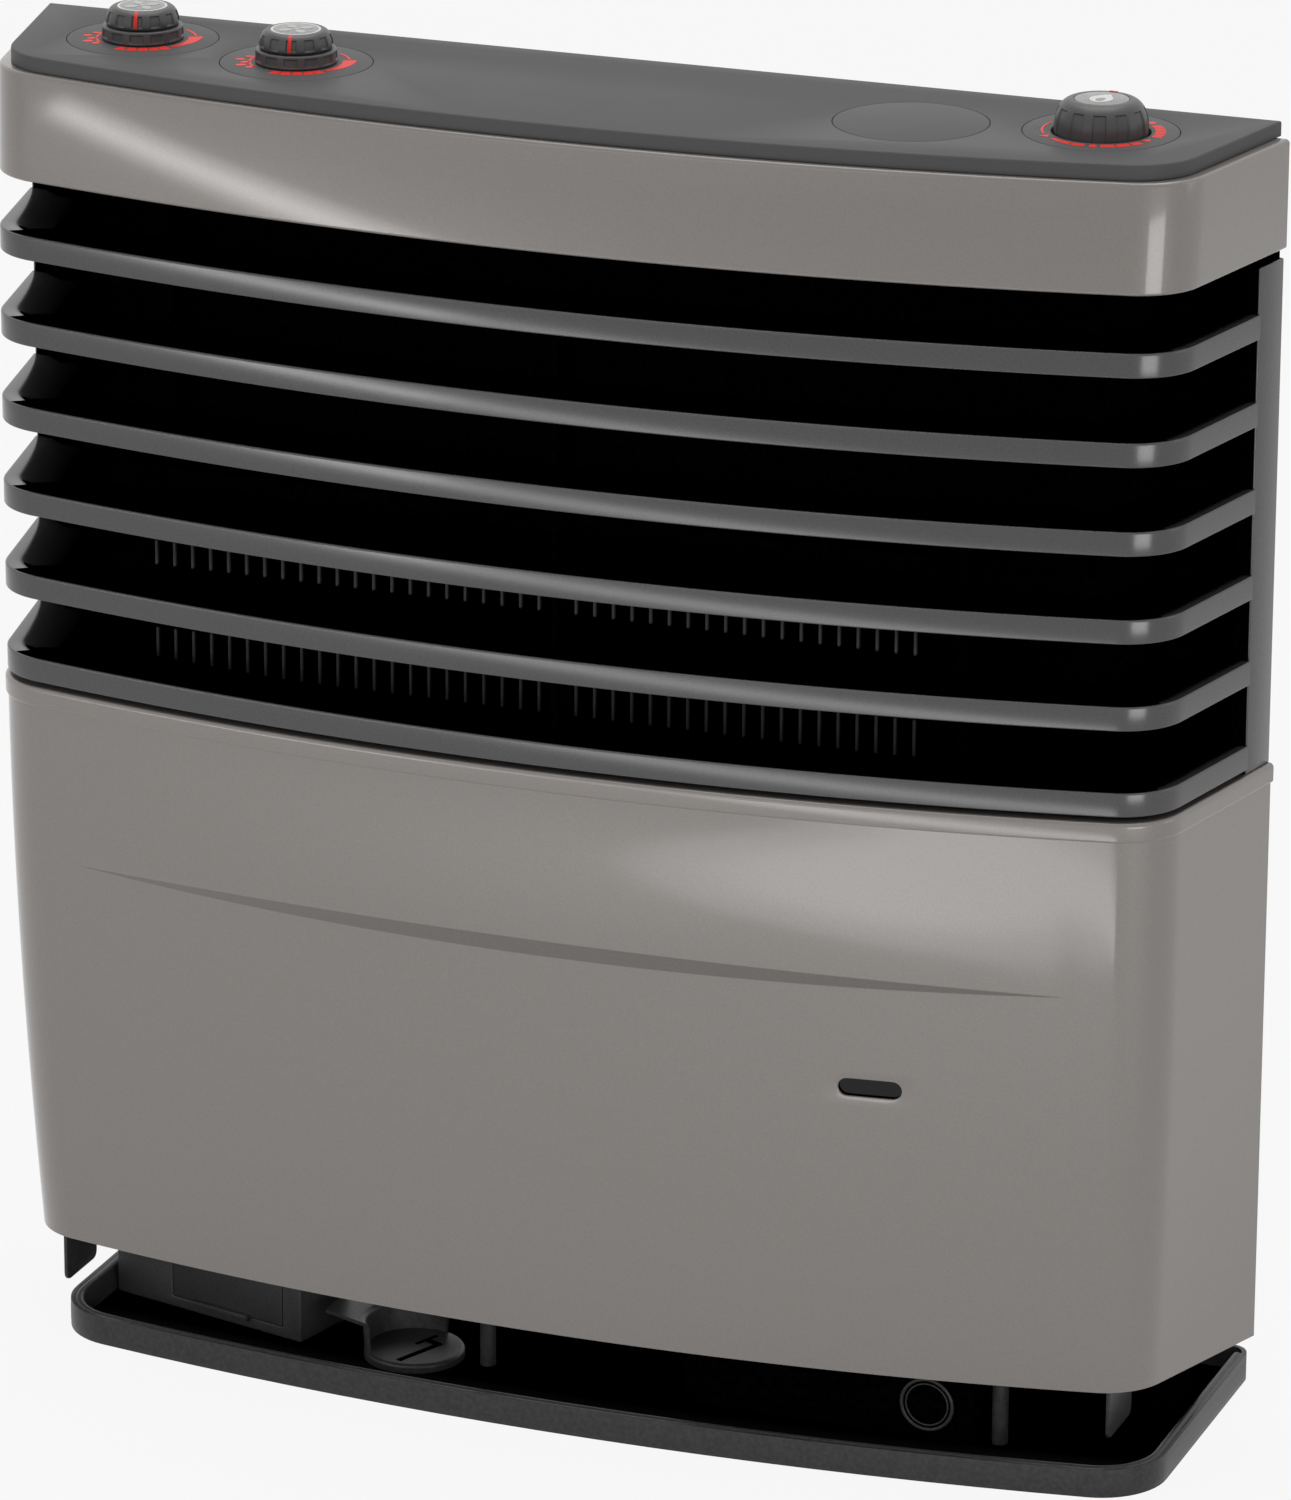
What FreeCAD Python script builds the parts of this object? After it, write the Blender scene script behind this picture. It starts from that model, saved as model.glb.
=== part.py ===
import FreeCAD, Part
import math
import os
import re

import Sketcher
from FreeCAD import Placement, Rotation, Vector

# Caravan gas heater with a lift-off louvred casing, modelled in millimetres.
# +X is the user's right, +Y goes back to the wall and +Z is up. The origin lies on the floor,
# in the middle of the casing's width, in the plane of the casing's rear edges.

SIZES = [
    # Casing outline seen from above
    ("casing_half_width", 322.5, "half width at the rear edge"),
    ("side_slant", 12.0, "degrees by which each side leans in towards the front"),
    ("toe_in", 7.0, "extra slant in degrees at the bottom of the lower panel"),
    ("corner_radius", 34.0, "front corners"),
    ("bow_radius", 1340.0, "front face seen from above"),
    ("face_depth", 142.5, "deepest point of the front face"),
    ("face_level", 405.0, "height of the deepest point"),
    ("barrel_radius", 3620.0, "front face seen from the side"),
    # Casing pieces
    ("sheet_wall", 1.5, "sheet metal of the casing"),
    ("fold_width", 9.0, "edges folded inwards"),
    ("band_bottom", 598.7, "underside of the upper band"),
    ("band_height", 54.3, "upper band"),
    ("slat_count", 6, "louvre slats"),
    ("slat_top", 571.8, "upper edge of the first slat"),
    ("slat_pitch", 42.74, "from one slat to the next"),
    ("slat_lip_height", 12.0, "front lip of a slat"),
    ("slat_lip_wall", 3.0, "front lip of a slat"),
    ("blade_depth", 45.0, "blade of a slat, from the front face inwards"),
    ("blade_wall", 2.5, "blade of a slat"),
    ("blade_drop", 3.5, "blade below the lip's upper edge"),
    ("blade_corner", 6.0, "inner corners of a blade"),
    ("upright_depth", 23.0, "rear uprights of the grille"),
    ("upright_width", 9.0, "rear uprights of the grille"),
    ("upright_inset", 1.0, "uprights behind the side face"),
    ("stay_width", 2.5, "middle stay between the blades"),
    ("stay_inset", 20.5, "middle stay behind the front face"),
    ("stay_depth", 23.0, "middle stay"),
    ("trim_height", 10.0, "rolled trim on the lower panel"),
    ("trim_width", 8.0, "rolled trim on the lower panel"),
    ("trim_proud", 0.8, "trim in front of the panel"),
    ("panel_top", 333.4, "upper edge of the lower panel"),
    ("panel_bottom", 45.5, "lower edge of the lower panel"),
    ("window_inset", 158.1, "observation window inside the casing's right edge"),
    ("window_level", 198.3, "observation window height"),
    ("window_length", 31.0, "observation slot"),
    ("window_height", 9.0, "observation slot"),
    ("glass_margin", 5.0, "glass beyond the slot on each side"),
    ("glass_wall", 3.0, "observation glass"),
    ("tab_length", 36.0, "hook tab at each end of the panel"),
    ("tab_inset", 44.5, "hook tab inside the casing's edge"),
    ("tab_wall", 2.0, "hook tab"),
    ("tab_bottom", 20.0, "lower edge of a hook tab"),
    ("tab_top", 75.0, "upper edge of a hook tab"),
    # Top cover and its controls
    ("cover_gap", 1.5, "shadow gap between the band and the cover"),
    ("cover_wall", 5.0, "top cover"),
    ("cover_inset", 3.3, "cover behind the band's front edge"),
    ("cover_side_inset", 6.0, "cover inside the band's sides"),
    ("cover_back", 3.4, "cover behind the casing's rear edges"),
    ("dial_radius", 36.9, "round control plates"),
    ("dial_wall", 2.0, "round control plates"),
    ("dial_fit", 0.3, "gap round a control plate"),
    ("outer_dial_inset", 78.0, "outer controls inside the casing's edges"),
    ("outer_dial_y", 46.3, "outer controls, in front of the rear edge"),
    ("inner_dial_inset", 166.1, "inner controls inside the casing's edges"),
    ("inner_dial_y", 62.8, "inner controls, in front of the rear edge"),
    ("ring_radius", 20.0, "mode ring of a fan control"),
    ("ring_height", 8.4, "mode ring of a fan control"),
    ("ring_taper", 0.5, "mode ring, narrower at its top"),
    ("ring_lift", 0.4, "gap under a mode ring"),
    ("knob_radius", 17.9, "speed knob of a fan control"),
    ("knob_height", 8.4, "speed knob of a fan control"),
    ("knob_lift", 0.6, "gap between a ring and its knob"),
    ("knob_shoulder_inset", 1.2, "shoulder of a speed knob inside its foot"),
    ("knob_shoulder_drop", 3.4, "shoulder of a speed knob below its top"),
    ("knob_top_rim", 1.0, "top of a speed knob round its inlaid disc"),
    ("icon_radius", 12.2, "inlaid disc on a speed knob"),
    ("icon_wall", 0.8, "inlaid discs"),
    ("spindle_radius", 3.0, "speed spindle"),
    ("running_fit", 0.05, "radial clearance of a shaft in its hole"),
    ("bush_radius", 6.0, "switch bush through the cover"),
    ("switch_radius", 14.0, "switch body under the cover"),
    ("switch_height", 24.0, "switch body under the cover"),
    ("gas_knob_radius", 22.35, "gas knob"),
    ("gas_knob_height", 15.6, "gas knob above the cover"),
    ("gas_knob_skirt", 10.0, "gas knob below the cover's face"),
    ("gas_knob_shoulder_drop", 6.2, "straight side of the gas knob below its top"),
    ("gas_knob_round_drop", 1.9, "rounding of the gas knob below its top"),
    ("gas_knob_round_inset", 2.2, "rounding of the gas knob inside its side"),
    ("gas_knob_top_rim", 2.3, "top of the gas knob round its inlaid disc"),
    ("gas_icon_radius", 13.2, "inlaid disc on the gas knob"),
    ("well_gap", 1.1, "gap round the gas knob"),
    ("well_wall", 1.2, "tube round the gas knob"),
    ("well_depth", 22.0, "tube round the gas knob"),
    ("press_travel", 8.0, "how far the gas knob presses in"),
    ("rod_radius", 4.0, "gas control rod"),
    ("rod_grip", 6.0, "rod inside the gas knob, above its skirt"),
    ("hub_radius", 8.0, "hub under the gas knob"),
    ("collar_radius", 10.0, "push collar on the rod"),
    ("collar_height", 10.0, "push collar on the rod"),
    ("collar_drop", 30.0, "push collar below the cover's face"),
    ("guide_wall", 3.0, "rod guide"),
    ("spring_length", 19.0, "return spring as fitted"),
    ("spring_wall", 2.5, "return spring"),
    ("loose_fit", 0.4, "clearance of pieces that move past each other"),
    # Base and the works on it
    ("tray_left_inset", 47.5, "left end of the base tray inside the casing's edge"),
    ("tray_right_inset", 17.5, "right end of the base tray inside the casing's edge"),
    ("tray_front", 140.0, "front of the base tray in its middle"),
    ("tray_back", 57.0, "rear of the base tray"),
    ("tray_bow_radius", 1600.0, "front of the base tray seen from above"),
    ("tray_corner", 35.0, "front corners of the base tray"),
    ("tray_rear_corner", 10.0, "rear corners of the base tray"),
    ("tray_rim", 14.5, "rim of the base tray"),
    ("tray_wall", 2.5, "base tray"),
    ("floor_hole_radius", 2.75, "screw holes in the base tray"),
    ("floor_hole_inset", 82.5, "screw holes inside the casing's edges"),
    ("floor_hole_y", 140.0, "between the screw holes, front to back"),
    ("floor_hole_front", 100.0, "front screw holes in front of the rear edge"),
    ("leg_radius", 4.0, "legs under the deck"),
    ("leg_front", 76.0, "front legs, in front of the rear edge"),
    ("leg_rear", 31.0, "rear legs, behind the rear edge"),
    ("leg_right_inset", 53.0, "right legs inside the deck's right end"),
    ("leg_plug_step", 39.0, "front left leg to the right of the plug"),
    ("leg_left_inset", 25.0, "rear left leg inside the deck's left end"),
    ("deck_level", 106.0, "underside of the deck"),
    ("deck_wall", 4.0, "deck"),
    ("deck_left_inset", 82.5, "left end of the deck inside the casing's edge"),
    ("deck_right_inset", 52.5, "right end of the deck inside the casing's edge"),
    ("deck_front", 82.0, "front of the deck"),
    ("deck_back", 37.0, "rear of the deck"),
    ("exchanger_left_inset", 86.5, "left end of the heat exchanger inside the casing's edge"),
    ("exchanger_right_inset", 160.5, "right end of the heat exchanger inside the casing's edge"),
    ("exchanger_front", 40.0, "front of the heat exchanger"),
    ("exchanger_back", 25.0, "rear of the heat exchanger"),
    ("exchanger_height", 330.0, "heat exchanger"),
    ("exchanger_wall", 4.0, "heat exchanger"),
    ("fin_count", 42, "fins on the heat exchanger"),
    ("fin_wall", 1.2, "one fin"),
    ("fin_depth", 18.0, "one fin, in front of its web"),
    ("fin_web", 2.0, "plate that carries the fins"),
    ("fin_height", 320.0, "fins"),
    ("flue_radius", 27.5, "flue spigot"),
    ("flue_wall", 1.5, "flue spigot"),
    ("flue_length", 32.0, "flue spigot"),
    ("flue_inset", 82.0, "flue spigot inside the heat exchanger's right end"),
    ("flue_drop", 60.0, "flue spigot below the top of the heat exchanger"),
    ("burner_left", 55.0, "left end of the burner housing"),
    ("burner_leg_gap", 11.0, "burner housing to the left of the right legs"),
    ("burner_front", 85.0, "front of the burner housing"),
    ("burner_back", 18.0, "rear of the burner housing"),
    ("burner_height", 38.0, "burner housing"),
    ("duct_wall", 2.0, "burner housing and riser"),
    ("cap_radius", 14.0, "round cap on the burner housing"),
    ("cap_wall", 3.0, "round cap on the burner housing"),
    ("cap_inset", 23.0, "round cap inside the burner housing's right end"),
    ("cap_level", 22.0, "round cap height"),
    ("intake_radius", 15.0, "air intake spigot"),
    ("intake_wall", 1.5, "air intake spigot"),
    ("intake_length", 36.0, "air intake spigot"),
    ("intake_x", 130.0, "air intake spigot from the middle"),
    ("riser_left", 66.0, "left side of the burner riser"),
    ("riser_right", 146.0, "right side of the burner riser"),
    ("riser_front", 34.0, "front of the burner riser"),
    ("riser_back", 16.0, "rear of the burner riser"),
    ("valve_width", 48.0, "gas valve"),
    ("valve_depth", 40.0, "gas valve"),
    ("valve_height", 50.0, "gas valve"),
    ("valve_neck_radius", 9.0, "neck of the gas valve"),
    ("valve_neck_height", 25.0, "neck of the gas valve"),
    ("rod_entry", 30.0, "rod inside the valve neck"),
    ("pipe_radius", 4.0, "gas pipes"),
    ("pipe_level", 30.0, "gas pipes above the deck"),
    ("pipe_bend", 14.0, "bend of the burner feed pipe"),
    ("feed_inset", 16.0, "feed pipe inside the burner housing's right end"),
    ("box_length", 118.0, "ignitor box"),
    ("box_depth", 40.0, "ignitor box"),
    ("box_height", 46.0, "ignitor box"),
    ("box_turn", 14.6, "degrees by which the ignitor box follows the front"),
    ("box_inset", 10.0, "ignitor box inside the tray's left end"),
    ("box_y", 56.0, "ignitor box's front left corner"),
    ("lid_start", 36.0, "battery lid from the box's left end"),
    ("lid_length", 70.0, "battery lid"),
    ("lid_wall", 2.5, "battery lid"),
    ("lid_bottom", 6.0, "battery lid above the box's underside"),
    ("lid_height", 38.0, "battery lid"),
    ("bay_depth", 24.0, "battery bay behind the lid"),
    ("bay_margin", 6.0, "battery bay inside the lid's edges"),
    ("plug_radius", 23.0, "round plug in the tray"),
    ("plug_height", 9.0, "round plug in the tray"),
    ("plug_step", 173.0, "round plug to the right of the ignitor box's left corner"),
    ("plug_y", 78.0, "round plug in front of the rear edge"),
    ("post_width", 16.0, "rear posts"),
    ("post_depth", 15.0, "rear posts"),
    ("post_left_inset", 60.5, "left post inside the casing's edge"),
    ("post_right_inset", 32.5, "right post and both rail ends inside the casing's edges"),
    ("post_back", 3.0, "rear posts behind the rear edge"),
    ("rail_height", 20.0, "rail under the cover"),
    ("shield_wall", 1.5, "rear shield"),
    ("shield_inset", 4.5, "rear shield inside the casing's edges"),
    ("shield_gap", 5.0, "rear shield round the heat exchanger and the gas pipe"),
    ("shield_drop", 4.0, "rear shield below the cover"),
    ("clip_height", 6.0, "clips that hold the casing"),
    ("clip_depth", 11.0, "clips that hold the casing"),
    ("clip_drop", 12.0, "clips below the cover"),
    ("screw_radius", 4.0, "heads of the deck screws"),
    ("screw_height", 2.4, "heads of the deck screws"),
]

doc = FreeCAD.newDocument("CaravanHeater")
sheet = doc.addObject("Spreadsheet::Sheet", "Sizes")
for row, (alias, value, note) in enumerate(SIZES, start=1):
    sheet.set(f"A{row}", alias)
    sheet.set(f"B{row}", str(value))
    sheet.setAlias(f"B{row}", alias)
    sheet.set(f"C{row}", note)
doc.recompute()

ALIASES = {alias for alias, value, note in SIZES}
SUB_PARTS = []

# Distances from the middle, and heights, that follow from the sizes
PLACES = {
    "window_x": "casing_half_width - window_inset",
    "tab_x": "casing_half_width - tab_inset",
    "outer_dial_x": "casing_half_width - outer_dial_inset",
    "inner_dial_x": "casing_half_width - inner_dial_inset",
    "tray_left": "casing_half_width - tray_left_inset",
    "tray_right": "casing_half_width - tray_right_inset",
    "floor_hole_x": "casing_half_width - floor_hole_inset",
    "deck_left": "casing_half_width - deck_left_inset",
    "deck_right": "casing_half_width - deck_right_inset",
    "deck_top": "deck_level + deck_wall",
    "exchanger_left": "casing_half_width - exchanger_left_inset",
    "exchanger_right": "casing_half_width - exchanger_right_inset",
    "exchanger_top": "deck_top + exchanger_height",
    "flue_x": "exchanger_right - flue_inset",
    "flue_level": "exchanger_top - flue_drop",
    "box_x": "tray_left - box_inset",
    "plug_x": "box_x - plug_step",
    "leg_front_left": "plug_x - leg_plug_step",
    "leg_rear_left": "deck_left - leg_left_inset",
    "leg_right": "deck_right - leg_right_inset",
    "burner_right": "leg_right - burner_leg_gap",
    "cap_x": "burner_right - cap_inset",
    "feed_x": "burner_right - feed_inset",
    "post_left": "casing_half_width - post_left_inset",
    "rail_half": "casing_half_width - post_right_inset",
    "shield_half": "casing_half_width - shield_inset",
    "band_top": "band_bottom + band_height",
    "cover_bottom": "band_top + cover_gap",
    "cover_top": "cover_bottom + cover_wall",
    "valve_top": "deck_top + valve_height + valve_neck_height",
}


def bound(text):
    """An expression on the sheet, from words that are aliases of its cells or names of places."""
    def word(found):
        name = found[0]
        if name in PLACES:
            return f"({bound(PLACES[name])})"
        return f"Sizes.{name}" if name in ALIASES else name

    return re.sub(r"[a-z_]+", word, text)


def number(text):
    """The value that a bound expression has now."""
    return float(sheet.evalExpression(bound(text).replace("Sizes.", "")))


def size(name):
    """The value of one size or place."""
    return number(name)


def bind(obj, name, text):
    obj.setExpression(name, bound(text))


def place(obj, x="0", y="0", z="0"):
    bind(obj, "Placement.Base.x", x)
    bind(obj, "Placement.Base.y", y)
    bind(obj, "Placement.Base.z", z)
    return obj


def keep(obj, label):
    """Name an object as one of the sub-parts that are written out."""
    obj.Label = label
    SUB_PARTS.append(obj)
    return obj


# Building blocks bound to the sheet
TURN_TO = {
    "Z": Rotation(),
    "Y": Rotation(Vector(1, 0, 0), -90),
}


def box(name, length, width, height, x, y, z):
    obj = doc.addObject("Part::Box", name)
    bind(obj, "Length", length)
    bind(obj, "Width", width)
    bind(obj, "Height", height)
    return place(obj, x, y, z)


def cylinder(name, radius, height, x, y, z, axis="Z"):
    obj = doc.addObject("Part::Cylinder", name)
    bind(obj, "Radius", radius)
    bind(obj, "Height", height)
    obj.Placement = Placement(Vector(), TURN_TO[axis])
    return place(obj, x, y, z)


def compound(name, pieces):
    obj = doc.addObject("Part::Compound", name)
    obj.Links = pieces
    return obj


def fuse(name, pieces):
    obj = doc.addObject("Part::MultiFuse", name)
    obj.Shapes = pieces
    return obj


def cut(name, base, tools):
    obj = doc.addObject("Part::Cut", name)
    obj.Base = base
    obj.Tool = tools[0] if len(tools) == 1 else compound(name + "Tools", tools)
    return obj


def tube(name, radius, wall, height, x, y, z, axis="Z"):
    outer = cylinder(name + "Outer", radius, height, x, y, z, axis)
    bore = cylinder(name + "Bore", f"{radius} - {wall}", height, x, y, z, axis)
    return cut(name, outer, [bore])


def shape_part(name, shape):
    """A sub-part whose form no bound feature gives."""
    obj = doc.addObject("Part::Feature", name)
    obj.Shape = shape
    return obj


def turned(name, corners, x, y, z):
    """A body turned about its own Z axis; corners are (radius, height) expressions."""
    body = doc.addObject("PartDesign::Body", name)
    sketch = body.newObject("Sketcher::SketchObject", name + "Profile")
    plane = next(part for part in body.Origin.OriginFeatures if part.Role == "XZ_Plane")
    sketch.AttachmentSupport = [(plane, "")]
    sketch.MapMode = "FlatFace"
    points = [Vector(number(radius), number(height), 0) for radius, height in corners]
    count = len(points)
    for index, point in enumerate(points):
        sketch.addGeometry(Part.LineSegment(point, points[(index + 1) % count]), False)
    for index in range(count):
        sketch.addConstraint(Sketcher.Constraint("Coincident", index, 2, (index + 1) % count, 1))
    for index, (radius, height) in enumerate(corners):
        for kind, text, line in (("DistanceX", radius, -2), ("DistanceY", height, -1)):
            if text == "0":
                sketch.addConstraint(Sketcher.Constraint("PointOnObject", index, 1, line))
                continue
            fixed = sketch.addConstraint(Sketcher.Constraint(kind, -1, 1, index, 1, number(text)))
            sketch.setExpression(f"Constraints[{fixed}]", bound(text))
    revolve = body.newObject("PartDesign::Revolution", name + "Turn")
    revolve.Profile = sketch
    revolve.ReferenceAxis = (sketch, ["V_Axis"])
    revolve.Angle = 360
    return place(body, x, y, z)


# Casing outline
def face_depth_at(level):
    """Depth of the front face in the middle of the casing, at one height."""
    radius = size("barrel_radius")
    rise = level - size("face_level")
    return size("face_depth") - radius + math.sqrt(radius * radius - rise * rise)


def panel_slant_at(level):
    """Slant of the lower panel's sides, which grows towards the floor."""
    share = (size("panel_top") - level) / (size("panel_top") - size("panel_bottom"))
    return size("side_slant") + size("toe_in") * max(share, 0.0) ** 2


def outline(depth, inset, rear, level, slant=None, corner=None, half_width=None):
    """Closed outline of the casing at one height, moved in from its face by inset.

    The two sides end at rear, and a straight line closes the outline there.
    """
    lean = math.radians(size("side_slant") if slant is None else slant)
    half = (half_width or size("casing_half_width")) - inset / math.cos(lean)
    bow = size("bow_radius") - inset
    radius = size("corner_radius") - inset if corner is None else corner
    bow_centre = Vector(0, bow - depth + inset, level)
    inward = Vector(-math.cos(lean), math.sin(lean), 0)
    forward = Vector(-math.sin(lean), -math.cos(lean), 0)
    start = Vector(half, 0, level)
    from_centre = start + inward * radius - bow_centre
    along = from_centre.dot(forward)
    reach = -along + math.sqrt(along * along - from_centre.dot(from_centre) + (bow - radius) ** 2)
    corner_centre = start + inward * radius + forward * reach
    side_end = start + forward * reach
    front_end = bow_centre + (corner_centre - bow_centre).normalize() * bow
    halfway = ((side_end - corner_centre) + (front_end - corner_centre)).normalize()
    corner_middle = corner_centre + halfway * radius
    rear_end = Vector(half + rear * math.tan(lean), rear, level)
    front_middle = Vector(0, inset - depth, level)

    def mirrored(point):
        return Vector(-point.x, point.y, point.z)

    edges = [
        Part.LineSegment(rear_end, side_end),
        Part.Arc(side_end, corner_middle, front_end),
        Part.Arc(front_end, front_middle, mirrored(front_end)),
        Part.Arc(mirrored(front_end), mirrored(corner_middle), mirrored(side_end)),
        Part.LineSegment(mirrored(side_end), mirrored(rear_end)),
        Part.LineSegment(mirrored(rear_end), rear_end),
    ]
    return Part.Wire([edge.toShape() for edge in edges])


def slab(depth, inset, rear, bottom, height, corner=None, half_width=None, slant=None):
    """A level plate with the casing's outline."""
    wire = outline(depth, inset, rear, bottom, slant, corner, half_width)
    return Part.Face(wire).extrude(Vector(0, 0, height))


# How far a cutting solid runs past the face that it opens, and how near two points count as one
PAST = 2.0
NEAR = 0.001


def strip(depth, outer, inner, rear, bottom, height, corner=None):
    """A U-shaped strip of the outline between two insets, open at the rear."""
    solid = slab(depth, outer, rear, bottom, height)
    space = slab(depth, inner, rear + PAST, bottom - PAST, height + 2 * PAST, corner)
    return solid.cut(space)


# Casing band with its folded edges
def make_band():
    wall = size("sheet_wall")
    bottom = size("band_bottom")
    top = bottom + size("band_height")

    def loft(inset, low, high, rear):
        wires = [outline(face_depth_at(level), inset, rear, level) for level in (low, high)]
        return Part.makeLoft(wires, True, True)

    shell = loft(0, bottom, top, 0)
    shell = shell.cut(loft(wall, bottom + wall, top - wall, PAST))
    return shell.cut(loft(size("fold_width"), bottom - PAST, top + PAST, PAST))


keep(shape_part("Band", make_band()), "casing_band")


# Louvre slats with their blades
def slat_bottom(index):
    return size("slat_top") - size("slat_lip_height") - index * size("slat_pitch")


def make_slat(index):
    bottom = slat_bottom(index)
    depth = face_depth_at(bottom + size("slat_lip_height") / 2)
    end = -size("upright_depth")
    lip = strip(depth, 0, size("slat_lip_wall"), end, bottom, size("slat_lip_height"))
    blade_level = bottom + size("slat_lip_height") - size("blade_drop") - size("blade_wall")
    blade = strip(depth, 0, size("blade_depth"), end, blade_level, size("blade_wall"), size("blade_corner"))
    return lip.fuse(blade).removeSplitter()


for slat in range(int(size("slat_count"))):
    keep(shape_part(f"Slat{slat + 1}", make_slat(slat)), f"slat_{slat + 1}")


# Rear uprights between the trim and the band
def make_upright(side):
    lean = math.radians(size("side_slant"))
    bottom = size("panel_top") + size("trim_height")
    corners = []
    insets = (size("upright_inset"), size("upright_inset") + size("upright_width"))
    for inset, back in ((insets[0], 0), (insets[0], 1), (insets[1], 1), (insets[1], 0)):
        y = -size("upright_depth") * back
        x = size("casing_half_width") - inset / math.cos(lean) + y * math.tan(lean)
        corners.append(Vector(side * x, y, bottom))
    face = Part.Face(Part.makePolygon(corners + corners[:1]))
    return face.extrude(Vector(0, 0, size("band_bottom") - bottom))


keep(shape_part("LeftUpright", make_upright(-1)), "left_upright")
keep(shape_part("RightUpright", make_upright(1)), "right_upright")

# Middle stay, one length between each pair of blades
BLADE_TOP = "slat_top - blade_drop"
STAYS = [
    box(
        f"Stay{gap + 1}",
        "stay_width",
        "stay_depth",
        "slat_pitch - blade_wall",
        "-stay_width / 2",
        "stay_inset - face_depth",
        f"{BLADE_TOP} - {gap + 1} * slat_pitch",
    )
    for gap in range(int(size("slat_count")) - 1)
]
keep(compound("CentreStay", STAYS), "centre_stay")


# Rolled trim along the top of the lower panel
def make_trim():
    depth = face_depth_at(size("panel_top"))
    return strip(depth, -size("trim_proud"), size("trim_width"), 0, size("panel_top"), size("trim_height"))


keep(shape_part("Trim", make_trim()), "panel_trim")


# Lower panel, curved both ways, with its observation slot
PANEL_SECTIONS = 5


def panel_loft(inset, low, high, rear):
    wires = []
    for step in range(PANEL_SECTIONS):
        level = low + (high - low) * step / (PANEL_SECTIONS - 1)
        wires.append(outline(face_depth_at(level), inset, rear, level, panel_slant_at(level)))
    return Part.makeLoft(wires, True, False)


def make_window_slot():
    radius = size("window_height") / 2
    reach = size("window_length") / 2 - radius
    centre = Vector(size("window_x"), -size("face_depth") - PAST, size("window_level"))
    backwards = Vector(0, 1, 0)
    depth = size("face_depth") / 2
    slot = Part.makeBox(2 * reach, depth, 2 * radius, centre - Vector(reach, 0, radius))
    for shift in (-reach, reach):
        slot = slot.fuse(Part.makeCylinder(radius, depth, centre + Vector(shift, 0, 0), backwards))
    return slot


def make_panel():
    wall = size("sheet_wall")
    bottom = size("panel_bottom")
    top = size("panel_top")
    shell = panel_loft(0, bottom, top, 0)
    shell = shell.cut(panel_loft(wall, bottom - PAST, top - wall, PAST))
    depth = face_depth_at(top)
    shell = shell.cut(slab(depth, size("fold_width"), PAST, top - 2 * wall, 2 * wall + PAST))
    return shell.cut(make_window_slot())


keep(shape_part("LowerPanel", make_panel()), "lower_panel")


# Observation glass behind the slot, its nearest corner on the panel's inner face
def make_glass():
    length = size("window_length") + 2 * size("glass_margin")
    height = size("window_height") + 2 * size("glass_margin")
    turn = math.asin(size("window_x") / size("bow_radius"))
    outer_x = size("window_length") / 2 + size("glass_margin")
    level = size("window_level") - height / 2
    bow = size("bow_radius")
    sag = bow - math.sqrt(bow * bow - size("window_x") ** 2)
    front = face_depth_at(level) - sag - size("sheet_wall") - outer_x * outer_x / (2 * bow)
    glass = Part.makeBox(length, size("glass_wall"), height, Vector(-length / 2, 0, 0))
    glass.rotate(Vector(), Vector(0, 0, 1), math.degrees(turn))
    glass.translate(Vector(size("window_x"), -front + size("loose_fit"), level))
    return glass


keep(shape_part("Glass", make_glass()), "window_glass")


# Hook tabs, each against the inside of one of the panel's front corners
def panel_inside_at(x, level):
    """How far back the panel's inner face lies, at one place across and one height."""
    inside = outline(face_depth_at(level), size("sheet_wall"), 0, level, panel_slant_at(level))
    ray = Part.makeLine(Vector(x, -size("face_depth"), level), Vector(x, -PAST, level))
    distance, pairs, details = inside.distToShape(ray)
    return min(pair[0].y for pair in pairs)


def make_tab(side):
    front = panel_inside_at(size("tab_x"), size("panel_bottom")) + size("loose_fit")
    outer = side * size("tab_x")
    corner = Vector(min(outer, outer - side * size("tab_wall")), front, size("tab_bottom"))
    return Part.makeBox(size("tab_wall"), size("tab_length"), size("tab_top") - size("tab_bottom"), corner)


keep(shape_part("LeftTab", make_tab(-1)), "left_tab")
keep(shape_part("RightTab", make_tab(1)), "right_tab")

# Control places as (name, x, y)
FAN_PLACES = (("left", "-outer_dial_x", "-outer_dial_y"), ("right", "-inner_dial_x", "-inner_dial_y"))
BLANK_PLACE = ("inner_dial_x", "-inner_dial_y")
GAS_PLACE = ("outer_dial_x", "-outer_dial_y")


# Top cover with flush seats for the round plates
def make_cover_slab():
    depth = face_depth_at(size("band_top")) - size("cover_inset")
    half = size("casing_half_width") - size("cover_side_inset")
    return slab(depth, 0, size("cover_back"), size("cover_bottom"), size("cover_wall"), half_width=half)


seats = []
for seat_name, seat_x, seat_y in FAN_PLACES + (("blank", *BLANK_PLACE), ("gas", *GAS_PLACE)):
    seats.append(cylinder(
        f"Seat_{seat_name}", "dial_radius + dial_fit", "dial_wall", seat_x, seat_y, "cover_top - dial_wall"
    ))
for hole_name, hole_x, hole_y in FAN_PLACES:
    seats.append(cylinder(
        f"BushHole_{hole_name}", "bush_radius + dial_fit", "cover_wall", hole_x, hole_y, "cover_bottom"
    ))
WELL_INNER = "gas_knob_radius + well_gap"
WELL_OUTER = f"{WELL_INNER} + well_wall"
seats.append(cylinder("WellHole", f"{WELL_OUTER} + dial_fit", "cover_wall", *GAS_PLACE, "cover_bottom"))
keep(cut("Cover", shape_part("CoverSlab", make_cover_slab()), seats), "top_cover")

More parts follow.
